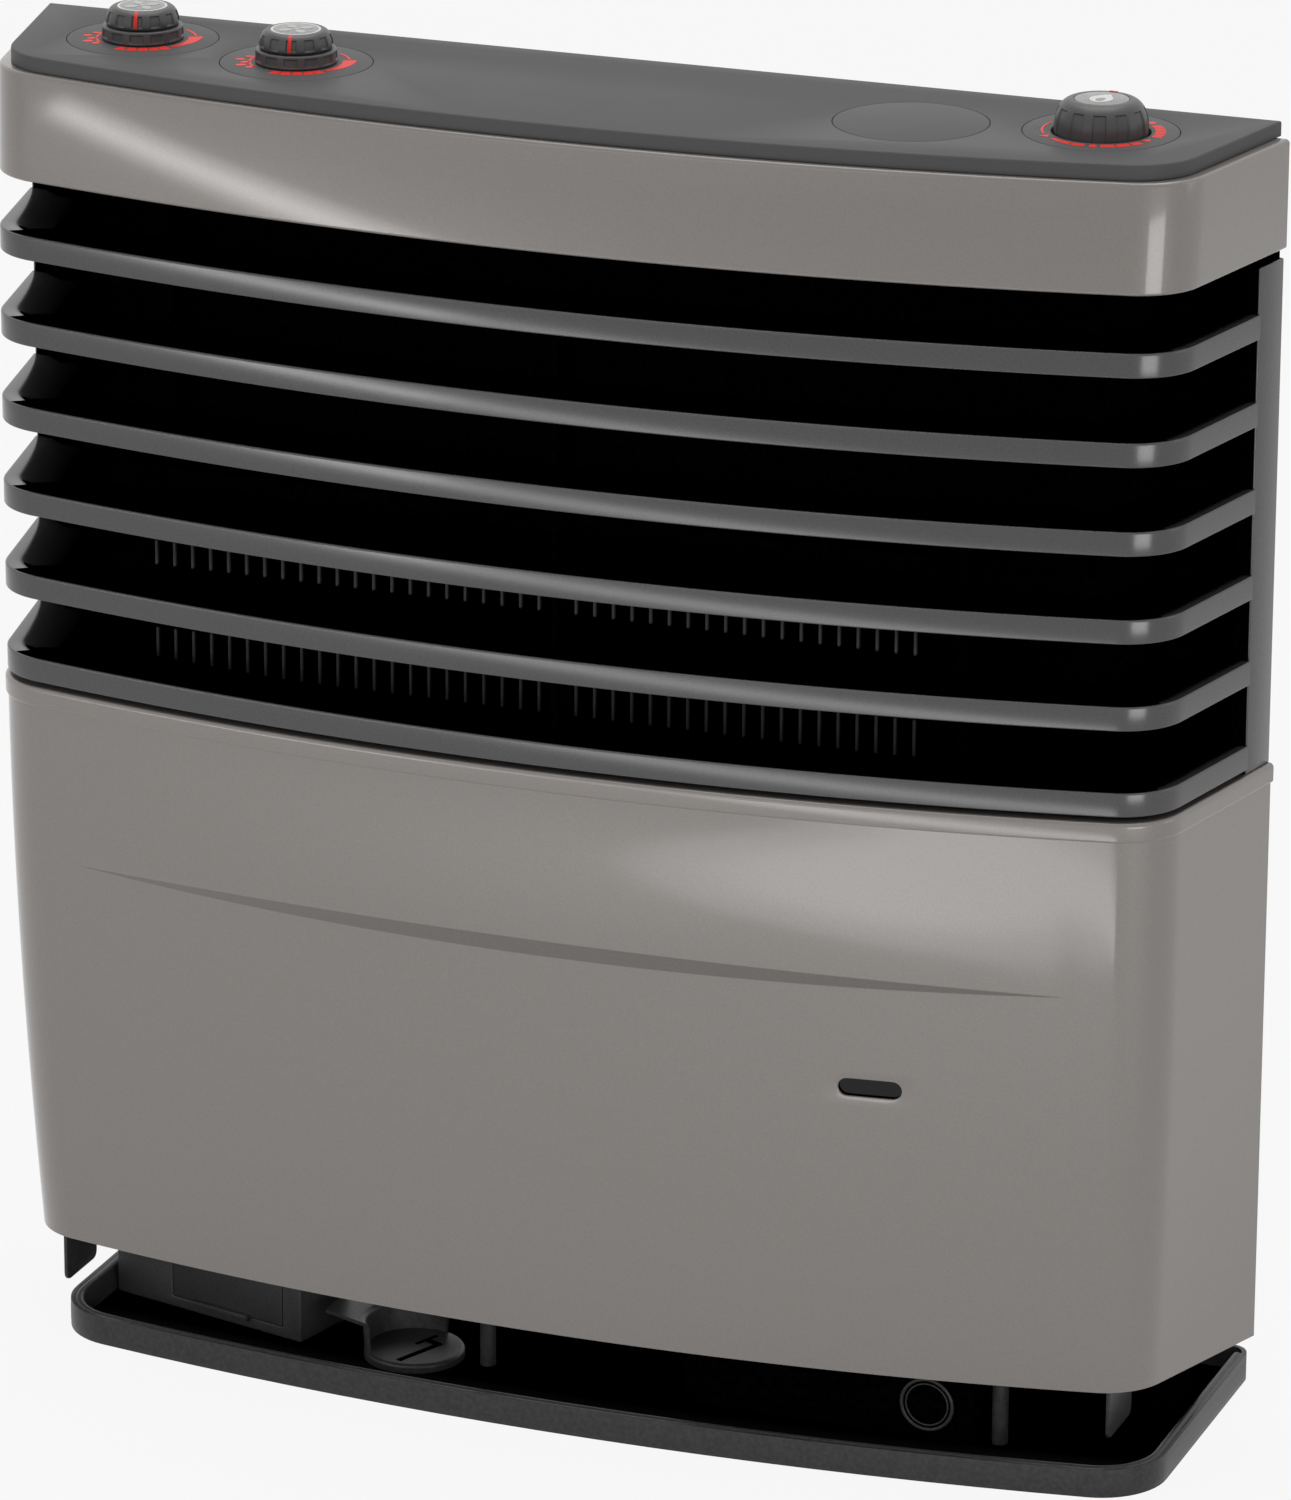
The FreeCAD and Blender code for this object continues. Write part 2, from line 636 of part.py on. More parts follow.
# Fan controls: plate, switch, mode ring, speed knob and its inlaid disc
KNOB_BOTTOM = "ring_lift + ring_height + knob_lift"
KNOB_TOP = f"{KNOB_BOTTOM} + knob_height"
for side, control_x, control_y in FAN_PLACES:
    keep(turned(f"FanDial_{side}", [
        ("bush_radius + dial_fit", "-dial_wall"),
        ("dial_radius", "-dial_wall"),
        ("dial_radius", "0"),
        ("bush_radius + dial_fit", "0"),
    ], control_x, control_y, "cover_top"), f"fan_dial_{side}")
    keep(turned(f"FanSwitch_{side}", [
        ("spindle_radius + running_fit", "-cover_wall - switch_height"),
        ("switch_radius", "-cover_wall - switch_height"),
        ("switch_radius", "-cover_wall"),
        ("bush_radius", "-cover_wall"),
        ("bush_radius", "ring_lift + ring_height"),
        ("spindle_radius + running_fit", "ring_lift + ring_height"),
    ], control_x, control_y, "cover_top"), f"fan_switch_{side}")
    keep(turned(f"FanRing_{side}", [
        ("bush_radius + running_fit", "ring_lift"),
        ("ring_radius", "ring_lift"),
        ("ring_radius - ring_taper", "ring_lift + ring_height"),
        ("bush_radius + running_fit", "ring_lift + ring_height"),
    ], control_x, control_y, "cover_top"), f"fan_ring_{side}")
    keep(turned(f"FanKnob_{side}", [
        ("0", "-cover_wall - switch_height / 2"),
        ("spindle_radius", "-cover_wall - switch_height / 2"),
        ("spindle_radius", KNOB_BOTTOM),
        ("knob_radius", KNOB_BOTTOM),
        ("knob_radius - knob_shoulder_inset", f"{KNOB_TOP} - knob_shoulder_drop"),
        ("icon_radius + knob_top_rim", KNOB_TOP),
        ("icon_radius", KNOB_TOP),
        ("icon_radius", f"{KNOB_TOP} - icon_wall"),
        ("0", f"{KNOB_TOP} - icon_wall"),
    ], control_x, control_y, "cover_top"), f"fan_knob_{side}")
    keep(cylinder(
        f"FanIcon_{side}", "icon_radius - dial_fit", "icon_wall", control_x, control_y,
        f"cover_top + {KNOB_TOP} - icon_wall"
    ), f"fan_icon_{side}")

# Blanking plate
keep(cylinder("BlankDial", "dial_radius", "dial_wall", *BLANK_PLACE, "cover_top - dial_wall"), "blank_dial")

# Gas control: plate with its well, knob on a rod, push collar, guide and return spring
keep(turned("GasDial", [
    (WELL_INNER, "-well_depth"),
    (WELL_OUTER, "-well_depth"),
    (WELL_OUTER, "-dial_wall"),
    ("dial_radius", "-dial_wall"),
    ("dial_radius", "0"),
    (WELL_INNER, "0"),
], *GAS_PLACE, "cover_top"), "gas_dial")
ROD_END = "rod_grip - gas_knob_skirt"
keep(turned("GasKnob", [
    ("0", ROD_END),
    ("rod_radius", ROD_END),
    ("rod_radius", "loose_fit - collar_drop"),
    ("hub_radius", "loose_fit - collar_drop"),
    ("hub_radius", "-gas_knob_skirt"),
    ("gas_knob_radius", "-gas_knob_skirt"),
    ("gas_knob_radius", "gas_knob_height - gas_knob_shoulder_drop"),
    ("gas_knob_radius - gas_knob_round_inset", "gas_knob_height - gas_knob_round_drop"),
    ("gas_icon_radius + gas_knob_top_rim", "gas_knob_height"),
    ("gas_icon_radius", "gas_knob_height"),
    ("gas_icon_radius", "gas_knob_height - icon_wall"),
    ("0", "gas_knob_height - icon_wall"),
], *GAS_PLACE, "cover_top"), "gas_knob")
keep(cylinder(
    "GasIcon", "gas_icon_radius - dial_fit", "icon_wall", *GAS_PLACE,
    "cover_top + gas_knob_height - icon_wall"
), "gas_icon")
ROD_BOTTOM = "valve_top - rod_entry"
ROD_LENGTH = f"cover_top + {ROD_END} - ({ROD_BOTTOM})"
keep(cylinder("ControlRod", "rod_radius", ROD_LENGTH, *GAS_PLACE, ROD_BOTTOM), "control_rod")
keep(turned("PushCollar", [
    ("rod_radius + running_fit", "-collar_drop - collar_height"),
    ("collar_radius", "-collar_drop - collar_height"),
    ("collar_radius", "-collar_drop"),
    ("rod_radius + running_fit", "-collar_drop"),
], *GAS_PLACE, "cover_top"), "push_collar")
SPRING_FOOT = "-collar_drop - collar_height - spring_length"
keep(turned("RodGuide", [
    ("rod_radius + loose_fit", f"{SPRING_FOOT} - guide_wall"),
    ("collar_radius + guide_wall", f"{SPRING_FOOT} - guide_wall"),
    ("collar_radius + guide_wall", "-collar_drop - guide_wall"),
    (f"{WELL_OUTER} + loose_fit + guide_wall", "-collar_drop - guide_wall"),
    (f"{WELL_OUTER} + loose_fit + guide_wall", "-cover_wall"),
    (f"{WELL_OUTER} + loose_fit", "-cover_wall"),
    (f"{WELL_OUTER} + loose_fit", "-collar_drop"),
    ("collar_radius + running_fit", "-collar_drop"),
    ("collar_radius + running_fit", SPRING_FOOT),
    ("rod_radius + loose_fit", SPRING_FOOT),
], *GAS_PLACE, "cover_top"), "rod_guide")
keep(turned("ReturnSpring", [
    ("collar_radius - loose_fit - spring_wall", SPRING_FOOT),
    ("collar_radius - loose_fit", SPRING_FOOT),
    ("collar_radius - loose_fit", f"{SPRING_FOOT} + spring_length"),
    ("collar_radius - loose_fit - spring_wall", f"{SPRING_FOOT} + spring_length"),
], *GAS_PLACE, "cover_top"), "return_spring")


# Base tray with a bowed front and a rim
def upright_edge(solid, foot):
    """The vertical edge of a solid that starts at one point of its underside."""
    for edge in solid.Edges:
        low, high = sorted((edge.firstVertex().Point, edge.lastVertex().Point), key=lambda end: end.z)
        if low.isEqual(foot, NEAR) and high.z - low.z > NEAR:
            return edge
    raise RuntimeError("no vertical edge there")


def tray_block(inset, bottom, top):
    left = -size("tray_left") + inset
    right = size("tray_right") - inset
    back = size("tray_back") - inset
    middle = (left + right) / 2
    bow = size("tray_bow_radius") - inset
    reach = (right - left) / 2
    front = -size("tray_front") + inset
    corner_y = front + bow - math.sqrt(bow * bow - reach * reach)
    left_front = Vector(left, corner_y, bottom)
    right_front = Vector(right, corner_y, bottom)
    left_back = Vector(left, back, bottom)
    right_back = Vector(right, back, bottom)
    edges = [
        Part.LineSegment(left_back, left_front),
        Part.Arc(left_front, Vector(middle, front, bottom), right_front),
        Part.LineSegment(right_front, right_back),
        Part.LineSegment(right_back, left_back),
    ]
    block = Part.Face(Part.Wire([edge.toShape() for edge in edges])).extrude(Vector(0, 0, top - bottom))
    rounds = (("tray_corner", (left_front, right_front)), ("tray_rear_corner", (left_back, right_back)))
    for alias, feet in rounds:
        block = block.makeFillet(size(alias) - inset, [upright_edge(block, foot) for foot in feet])
    return block


def make_tray_pan():
    wall = size("tray_wall")
    return tray_block(0, 0, size("tray_rim")).cut(tray_block(wall, wall, size("tray_rim") + PAST))


floor_holes = []
for across in (-1, 1):
    for along in (0, 1):
        floor_holes.append(cylinder(
            f"FloorHole{across + 1}{along}", "floor_hole_radius", "tray_wall",
            f"{across} * floor_hole_x", f"{along} * floor_hole_y - floor_hole_front", "0"
        ))
keep(cut("Tray", shape_part("TrayPan", make_tray_pan()), floor_holes), "base_tray")

# Legs, deck and deck screws
LEG_PLACES = (
    ("-leg_front_left", "-leg_front"),
    ("leg_right", "-leg_front"),
    ("-leg_rear_left", "leg_rear"),
    ("leg_right", "leg_rear"),
)
legs = []
screws = []
for leg, (leg_x, leg_y) in enumerate(LEG_PLACES, start=1):
    legs.append(cylinder(f"Leg{leg}", "leg_radius", "deck_level - tray_wall", leg_x, leg_y, "tray_wall"))
    screws.append(cylinder(f"DeckScrew{leg}", "screw_radius", "screw_height", leg_x, leg_y, "deck_top"))
keep(compound("Legs", legs), "support_legs")
keep(compound("DeckScrews", screws), "deck_screws")
deck_plate = box(
    "DeckPlate", "deck_left + deck_right", "deck_front + deck_back", "deck_wall",
    "-deck_left", "-deck_front", "deck_level"
)
feed_hole = cylinder(
    "FeedHole", "pipe_radius + loose_fit", "deck_wall", "feed_x", GAS_PLACE[1], "deck_level"
)
fire_hole = box(
    "FireHole", "riser_right - riser_left - 2 * duct_wall", "riser_front + riser_back - 2 * duct_wall",
    "deck_wall", "riser_left + duct_wall", "duct_wall - riser_front", "deck_level"
)
keep(cut("Deck", deck_plate, [feed_hole, fire_hole]), "deck_plate")

# Heat exchanger with its fins and flue spigot
exchanger_block = box(
    "ExchangerBlock", "exchanger_left + exchanger_right", "exchanger_front + exchanger_back",
    "exchanger_height", "-exchanger_left", "-exchanger_front", "deck_top"
)
fire_space = box(
    "FireSpace", "exchanger_left + exchanger_right - 2 * exchanger_wall",
    "exchanger_front + exchanger_back - 2 * exchanger_wall", "exchanger_height - exchanger_wall",
    "exchanger_wall - exchanger_left", "exchanger_wall - exchanger_front", "deck_top"
)
keep(cut("Exchanger", exchanger_block, [fire_space]), "heat_exchanger")
FIN_PITCH = "(exchanger_left + exchanger_right - fin_wall) / (fin_count - 1)"
fin_pieces = [box(
    "FinWeb", "exchanger_left + exchanger_right", "fin_web", "fin_height",
    "-exchanger_left", "-exchanger_front - fin_web", "deck_top"
)]
for fin in range(int(size("fin_count"))):
    fin_pieces.append(box(
        f"Fin{fin + 1}", "fin_wall", "fin_depth", "fin_height",
        f"{fin} * {FIN_PITCH} - exchanger_left", "-exchanger_front - fin_web - fin_depth", "deck_top"
    ))
keep(fuse("Fins", fin_pieces), "exchanger_fins")
keep(tube(
    "FlueSpigot", "flue_radius", "flue_wall", "flue_length", "flue_x", "exchanger_back", "flue_level", "Y"
), "flue_spigot")

# Burner housing, its round cap, riser and air intake
burner_block = box(
    "BurnerBlock", "burner_right - burner_left", "burner_front + burner_back", "burner_height",
    "burner_left", "-burner_front", "tray_wall"
)
burner_space = box(
    "BurnerSpace", "burner_right - burner_left - 2 * duct_wall", "burner_front + burner_back - 2 * duct_wall",
    "burner_height - 2 * duct_wall", "burner_left + duct_wall", "duct_wall - burner_front",
    "tray_wall + duct_wall"
)
burner_mouth = box(
    "BurnerMouth", "riser_right - riser_left - 2 * duct_wall", "riser_front + riser_back - 2 * duct_wall",
    "2 * duct_wall", "riser_left + duct_wall", "duct_wall - riser_front",
    "tray_wall + burner_height - 2 * duct_wall"
)
keep(cut("BurnerHousing", burner_block, [burner_space, burner_mouth]), "burner_housing")
keep(cylinder(
    "BurnerCap", "cap_radius", "cap_wall", "cap_x", "-burner_front - cap_wall", "cap_level", "Y"
), "burner_cap")
riser_block = box(
    "RiserBlock", "riser_right - riser_left", "riser_front + riser_back",
    "deck_level - tray_wall - burner_height", "riser_left", "-riser_front", "tray_wall + burner_height"
)
riser_space = box(
    "RiserSpace", "riser_right - riser_left - 2 * duct_wall", "riser_front + riser_back - 2 * duct_wall",
    "deck_level - tray_wall - burner_height", "riser_left + duct_wall", "duct_wall - riser_front",
    "tray_wall + burner_height"
)
keep(cut("BurnerRiser", riser_block, [riser_space]), "burner_riser")
keep(tube(
    "AirIntake", "intake_radius", "intake_wall", "intake_length", "intake_x", "burner_back",
    "tray_wall + burner_height / 2", "Y"
), "air_intake")

# Gas valve, inlet pipe and feed pipe to the burner
valve_block = box(
    "ValveBlock", "valve_width", "valve_depth", "valve_height",
    "outer_dial_x - valve_width / 2", "-outer_dial_y - valve_depth / 2", "deck_top"
)
valve_neck = cylinder(
    "ValveNeck", "valve_neck_radius", "valve_neck_height", *GAS_PLACE, "deck_top + valve_height"
)
rod_socket = cylinder(
    "RodSocket", "rod_radius + loose_fit", "rod_entry + press_travel + loose_fit", *GAS_PLACE,
    f"{ROD_BOTTOM} - press_travel - loose_fit"
)
keep(cut("GasValve", fuse("ValveBody", [valve_block, valve_neck]), [rod_socket]), "gas_valve")
keep(cylinder(
    "GasInlet", "pipe_radius", "tray_back + outer_dial_y - valve_depth / 2",
    "outer_dial_x", "valve_depth / 2 - outer_dial_y", "deck_top + pipe_level", "Y"
), "gas_inlet_pipe")


def make_feed_pipe():
    y = number(GAS_PLACE[1])
    level = number("deck_top + pipe_level")
    bend = size("pipe_bend")
    slant = bend * math.sqrt(0.5)
    start = Vector(number("outer_dial_x - valve_width / 2"), y, level)
    bend_start = Vector(size("feed_x") + bend, y, level)
    bend_middle = Vector(size("feed_x") + bend - slant, y, level - bend + slant)
    bend_end = Vector(size("feed_x"), y, level - bend)
    end = Vector(size("feed_x"), y, number("tray_wall + burner_height"))
    path = Part.Wire([
        Part.LineSegment(start, bend_start).toShape(),
        Part.Arc(bend_start, bend_middle, bend_end).toShape(),
        Part.LineSegment(bend_end, end).toShape(),
    ])
    ring = Part.Wire([Part.makeCircle(size("pipe_radius"), start, Vector(1, 0, 0))])
    return path.makePipeShell([ring], True, False)


keep(shape_part("FeedPipe", make_feed_pipe()), "burner_feed_pipe")


# Ignitor box and its sliding battery lid, both turned to follow the casing's front
def turned_box(name, length, depth, height, start, front, level):
    """A box in the ignitor box's own frame, whose corner is the box's front left foot."""
    obj = doc.addObject("Part::Box", name)
    bind(obj, "Length", length)
    bind(obj, "Width", depth)
    bind(obj, "Height", height)
    obj.Placement = Placement(Vector(), Rotation(Vector(0, 0, 1), -size("box_turn")))
    along_x = f"({start}) * cos(box_turn * 1deg) + ({front}) * sin(box_turn * 1deg)"
    along_y = f"({front}) * cos(box_turn * 1deg) - ({start}) * sin(box_turn * 1deg)"
    return place(obj, f"{along_x} - box_x", f"{along_y} - box_y", level)


LID_SEAT = "lid_wall + loose_fit"
box_block = turned_box("BoxBlock", "box_length", "box_depth", "box_height", "0", "0", "tray_wall")
lid_recess = turned_box(
    "LidRecess", "lid_length + 2 * loose_fit", LID_SEAT, "box_height", "lid_start - loose_fit", "0",
    "tray_wall + lid_bottom - loose_fit"
)
battery_bay = turned_box(
    "BatteryBay", "lid_length - 2 * bay_margin", f"{LID_SEAT} + bay_depth", "lid_height - 2 * bay_margin",
    "lid_start + bay_margin", "0", "tray_wall + lid_bottom + bay_margin"
)
keep(cut("IgnitorBox", box_block, [lid_recess, battery_bay]), "ignitor_box")
keep(turned_box(
    "BatteryLid", "lid_length", "lid_wall", "lid_height", "lid_start", "0", "tray_wall + lid_bottom"
), "battery_lid")

# Round plug in the tray
keep(cylinder("TrayPlug", "plug_radius", "plug_height", "-plug_x", "-plug_y", "tray_wall"), "tray_plug")

# Rear frame that carries the cover, the shield behind it and the clips that hold the casing
frame_pieces = [
    box("LeftPost", "post_width", "post_depth", "cover_bottom - rail_height - tray_wall",
        "-post_left", "post_back - post_depth", "tray_wall"),
    box("RightPost", "post_width", "post_depth", "cover_bottom - rail_height - tray_wall",
        "rail_half - post_width", "post_back - post_depth", "tray_wall"),
    box("TopRail", "2 * rail_half", "post_depth", "rail_height",
        "-rail_half", "post_back - post_depth", "cover_bottom - rail_height"),
]
keep(fuse("RearFrame", frame_pieces), "rear_frame")
shield_sheet = box(
    "ShieldSheet", "2 * shield_half", "shield_wall", "cover_bottom - shield_drop - deck_top",
    "-shield_half", "post_back", "deck_top"
)
shield_opening = box(
    "ShieldOpening", "exchanger_left + exchanger_right + 2 * shield_gap", "shield_wall",
    "exchanger_height + shield_gap", "-exchanger_left - shield_gap", "post_back", "deck_top"
)
shield_pipe_hole = cylinder(
    "ShieldPipeHole", "pipe_radius + shield_gap", "shield_wall", "outer_dial_x", "post_back",
    "deck_top + pipe_level", "Y"
)
keep(cut("RearShield", shield_sheet, [shield_opening, shield_pipe_hole]), "rear_shield")
CLIP_END = "casing_half_width - sheet_wall / cos(side_slant * 1deg) - clip_depth * tan(side_slant * 1deg)"
CLIP_REACH = f"{CLIP_END} - loose_fit - rail_half"
for clip_name, clip_x in (("left", f"-rail_half - ({CLIP_REACH})"), ("right", "rail_half")):
    keep(box(
        f"Clip_{clip_name}", CLIP_REACH, "clip_depth", "clip_height",
        clip_x, "-clip_depth", "cover_bottom - clip_drop - clip_height"
    ), f"{clip_name}_clip")

doc.recompute()

# Checks, then one file for each sub-part
for obj in doc.Objects:
    if "Invalid" in obj.State or "Error" in obj.State:
        raise RuntimeError(f"{obj.Label} did not build: {obj.State}")
labels = [obj.Label for obj in SUB_PARTS]
if len(set(labels)) != len(labels):
    raise RuntimeError("two sub-parts share a label")
for obj in SUB_PARTS:
    if obj.Shape.isNull() or not obj.Shape.isValid() or not obj.Shape.Solids:
        raise RuntimeError(f"{obj.Label} has no valid solid")

os.makedirs("parts", exist_ok=True)
for obj in SUB_PARTS:
    obj.Shape.exportStep(f"parts/{obj.Label}.step")
    print(f"{obj.Label}: {len(obj.Shape.Solids)} solids, {obj.Shape.Volume:.0f} mm3")
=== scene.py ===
import math

import bmesh
import bpy
from mathutils import Matrix, Vector


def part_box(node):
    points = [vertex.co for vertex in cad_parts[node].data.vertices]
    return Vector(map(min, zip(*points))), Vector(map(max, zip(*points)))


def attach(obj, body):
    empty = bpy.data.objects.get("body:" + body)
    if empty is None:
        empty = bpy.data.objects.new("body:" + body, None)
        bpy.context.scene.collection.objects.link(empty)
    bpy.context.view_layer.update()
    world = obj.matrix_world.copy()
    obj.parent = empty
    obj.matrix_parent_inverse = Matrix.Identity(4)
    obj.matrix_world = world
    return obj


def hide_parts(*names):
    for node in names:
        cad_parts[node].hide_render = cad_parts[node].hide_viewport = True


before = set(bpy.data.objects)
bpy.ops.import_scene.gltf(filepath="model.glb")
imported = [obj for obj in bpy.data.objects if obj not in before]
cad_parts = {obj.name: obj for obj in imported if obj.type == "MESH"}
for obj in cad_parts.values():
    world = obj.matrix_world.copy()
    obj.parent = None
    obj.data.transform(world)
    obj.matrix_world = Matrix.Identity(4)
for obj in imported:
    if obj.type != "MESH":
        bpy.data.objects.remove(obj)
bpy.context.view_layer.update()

bl_info = {
    "name": "Caravan gas heater",
    "version": (1, 0, 0),
    "blender": (4, 5, 0),
    "location": "View3D > Sidebar > Heater",
    "description": "Dresses the packed parts of a caravan gas heater",
    "category": "Object",
}

MM = 0.001
MERGE = 0.002 * MM
SHARP = math.radians(32)
UP = Vector((0, 0, 1))

# Shares of each half of the casing's outline that the side and the corner take
SIDE_SHARE = 0.2
CORNER_SHARE = 0.2
# Faces from the left rear edge of the casing to the right one
CASING_COLUMNS = 240

HALF_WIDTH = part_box("casing_band")[1].x
COVER_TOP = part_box("top_cover")[1].z
# Fins: height of a band of painted light, its reach either way, and the gap up to the next band
FIN_LIGHT_LEVEL = 354 * MM
FIN_LIGHT_HALF = 9 * MM
FIN_LIGHT_PITCH = 52 * MM
# How far behind the fins' front edges the painted shade begins, and where it is black
FIN_SHADE_START = 0.6 * MM
FIN_SHADE_BLACK = 2.5 * MM
# How far behind its front a slat is still grey, and where its painted shade is black
SLAT_SHADE_START = 12 * MM
SLAT_SHADE_BLACK = 26 * MM
# How far behind the tray's front its floor is still lit, and where its painted shade is black
FLOOR_LIT = 8 * MM
FLOOR_SHADE_BLACK = 42 * MM
FAN_SIDES = ("left", "right")
# Knobs: steps of a dome, columns of a spun knob or disc, and the gap round an inlaid disc
DOME_STEPS = 16
KNOB_COLUMNS = 288
DISC_COLUMNS = 72
DISC_GAP = 0.3 * MM
DISC_DROP = 0.8 * MM


def linear(text):
    """A linear colour from an sRGB hex value."""
    channels = [int(text[place:place + 2], 16) / 255 for place in (1, 3, 5)]
    return tuple(c / 12.92 if c <= 0.04045 else ((c + 0.055) / 1.055) ** 2.4 for c in channels)


def length(name, default_mm, words):
    """A property for a size, given in millimetres."""
    return bpy.props.FloatProperty(
        name=name, description=words, default=default_mm * MM, unit="LENGTH", precision=5
    )


def count(name, default, words):
    """A property for a number of things."""
    return bpy.props.IntProperty(name=name, description=words, default=default)


def angle(name, degrees, words):
    """A property for an angle, given in degrees."""
    return bpy.props.FloatProperty(
        name=name, description=words, default=math.radians(degrees), unit="ROTATION"
    )


def colour(name, text, words):
    """A property for a colour, given as an sRGB hex value."""
    return bpy.props.FloatVectorProperty(
        name=name, description=words, default=linear(text), subtype="COLOR", size=3, min=0, max=1
    )


class HeaterCasing(bpy.types.PropertyGroup):
    """Sizes of the casing's sheet pieces."""

    side_slant: angle("Side slant", 12.0, "Lean of each side towards the front")
    toe_in: angle("Toe-in", 7.0, "Extra slant at the bottom of the lower panel")
    corner_radius: length("Corner radius", 34.0, "Front corners seen from above")
    inner_corner: length("Inner corner", 6.0, "Inner corners of the louvre blades")
    bow_radius: length("Bow radius", 1340.0, "Front face seen from above")
    face_depth: length("Face depth", 142.5, "Deepest point of the front face")
    face_level: length("Face level", 405.0, "Height of the deepest point")
    barrel_radius: length("Barrel radius", 3620.0, "Front face seen from the side")
    sheet_wall: length("Sheet", 1.5, "Sheet metal of the casing")
    fold_width: length("Fold", 9.0, "Edges folded inwards")
    band_round: length("Band rounding", 2.0, "Upper edge of the band")
    cover_edge: length("Cover edge", 2.4, "Cover's front edge below its packed underside")
    band_drop: length("Band drop", 1.2, "Band's upper edge below its packed one")
    lip_wall: length("Lip wall", 3.0, "Front lip of a slat")
    lip_round: length("Lip rounding", 0.7, "Edges of a slat's lip")
    blade_depth: length("Blade depth", 45.0, "Blade of a slat, from the front inwards")
    blade_wall: length("Blade wall", 2.5, "Blade of a slat")
    blade_drop: length("Blade drop", 3.5, "Blade below the lip's upper edge")
    upright_width: length("Upright width", 9.0, "Rear uprights of the grille")
    upright_gap: length("Upright gap", 4.5, "Gap between an upright and the band")
    trim_width: length("Trim width", 8.0, "Rolled trim on the lower panel")
    trim_proud: length("Trim proud", 1.3, "Trim in front of the panel")
    crease_level: length("Crease level", 253.5, "Height of the crescent crease")
    crease_half: length("Crease half length", 256.0, "Crease either side of the middle")
    crease_height: length("Crease height", 10.0, "Crease in its middle")
    crease_step: length("Crease step", 5.5, "Face above the crease in front of the one below")
    window_x: length("Window across", 164.4, "Observation slot from the middle")
    window_level: length("Window height", 198.3, "Observation slot")
    window_length: length("Window length", 31.0, "Observation slot")
    window_height: length("Window opening", 9.0, "Observation slot")


class HeaterControls(bpy.types.PropertyGroup):
    """Sizes of the knobs and their prints."""

    fan_grips: count("Fan grips", 12, "Recesses round a fan knob")
    gas_grips: count("Gas grips", 12, "Flutes round the gas knob")
    grip_depth: length("Grip depth", 0.75, "Recesses in the knobs")
    pointer_width: length("Pointer width", 1.7, "Red stripe on a speed knob")
    ink: length("Ink", 0.14, "Thickness of the printed marks")
    seam_round: length("Seam rounding", 0.45, "Edges of the round plates and their seats")
    cover_round: length("Cover rounding", 1.1, "Outer edges of the top cover")


class HeaterColours(bpy.types.PropertyGroup):
    """Colours of the finishes."""

    lacquer: colour("Lacquer", "#7C7773", "Metallic lacquer of the casing")
    flake: colour("Flake", "#8C8783", "Bright flakes in the lacquer")
    # The crease colour is the lacquer darkened as painted shade, as the crease faces the floor
    crease: colour("Crease", "#696461", "Lacquer in the crease of the lower panel")
    grille: colour("Grille", "#404041", "Front lips of the slats")
    cover: colour("Cover", "#565657", "Top cover and round plates")
    knob: colour("Knob", "#4C4C4D", "Knobs and rings")
    ink: colour("Ink", "#F02E22", "Printed scales and pointers")
    icon: colour("Icon", "#949493", "Inlaid discs")
    pale: colour("Pale", "#E4E3E1", "Flame picture and rings round the fan discs")
    faint: colour("Faint", "#B9B9B7", "Fan pictures")
    base: colour("Base", "#3B3B3C", "Painted steel of the base")
    # Black of the dark works and of all painted shade; also dark grains in paint and plastic, and
    # the glass
    black_and_shade: colour("Soot", "#010101", "Dark works behind the grille")
    fin: colour("Fin", "#565656", "Fins of the heat exchanger")
    steel: colour("Steel", "#8A8A8C", "Plain steel")
    brass: colour("Brass", "#B08D45", "Gas fittings")
    floor: colour("Floor", "#B8B8B8", "Studio paper")


def casing():
    return bpy.context.scene.heater_casing


def controls():
    return bpy.context.scene.heater_controls


def palette():
    return bpy.context.scene.heater_colours


# Casing outline
def face_depth_at(level):
    """Depth of the front face in the middle of the casing, at one height."""
    sizes = casing()
    rise = level - sizes.face_level
    return sizes.face_depth - sizes.barrel_radius + math.sqrt(sizes.barrel_radius ** 2 - rise ** 2)


def front_at(x, level):
    """Where the front face lies, at one place across and one height."""
    bow = casing().bow_radius
    return bow - face_depth_at(level) - math.sqrt(bow * bow - x * x)


def compass(turn):
    """The level direction that turns from the front towards the right."""
    return Vector((math.sin(turn), -math.cos(turn)))


def casing_point(across, inset, level, lean=None, depth=None):
    """A point of the casing's outline, from its left rear edge, 0, to its right one, 1."""
    sizes = casing()
    lean = sizes.side_slant if lean is None else lean
    depth = face_depth_at(level) if depth is None else depth
    bow = sizes.bow_radius - inset
    corner = max(sizes.corner_radius - inset, sizes.inner_corner)
    bow_centre = Vector((0, bow - depth + inset))
    inward = Vector((-math.cos(lean), math.sin(lean)))
    forward = Vector((-math.sin(lean), -math.cos(lean)))
    start = Vector((HALF_WIDTH - inset / math.cos(lean), 0))
    offset = start + inward * corner - bow_centre
    along = offset.dot(forward)
    reach = math.sqrt(along * along - offset.length_squared + (bow - corner) ** 2) - along
    centre = start + inward * corner + forward * reach
    front_turn = math.atan2(centre.x - bow_centre.x, bow_centre.y - centre.y)
    side_turn = math.pi / 2 - lean
    share = 1 - abs(2 * across - 1)
    if share < SIDE_SHARE:
        point = start + forward * reach * share / SIDE_SHARE
    elif share < SIDE_SHARE + CORNER_SHARE:
        run = (share - SIDE_SHARE) / CORNER_SHARE
        point = centre + compass(side_turn + (front_turn - side_turn) * run) * corner
    else:
        run = (share - SIDE_SHARE - CORNER_SHARE) / (1 - SIDE_SHARE - CORNER_SHARE)
        point = bow_centre + compass(front_turn * (1 - run)) * bow
    return Vector((math.copysign(point.x, across - 0.5), point.y, level))


# Mesh helpers
def smooth(share):
    """An eased step from 0 to 1."""
    share = min(max(share, 0.0), 1.0)
    return share * share * (3 - 2 * share)


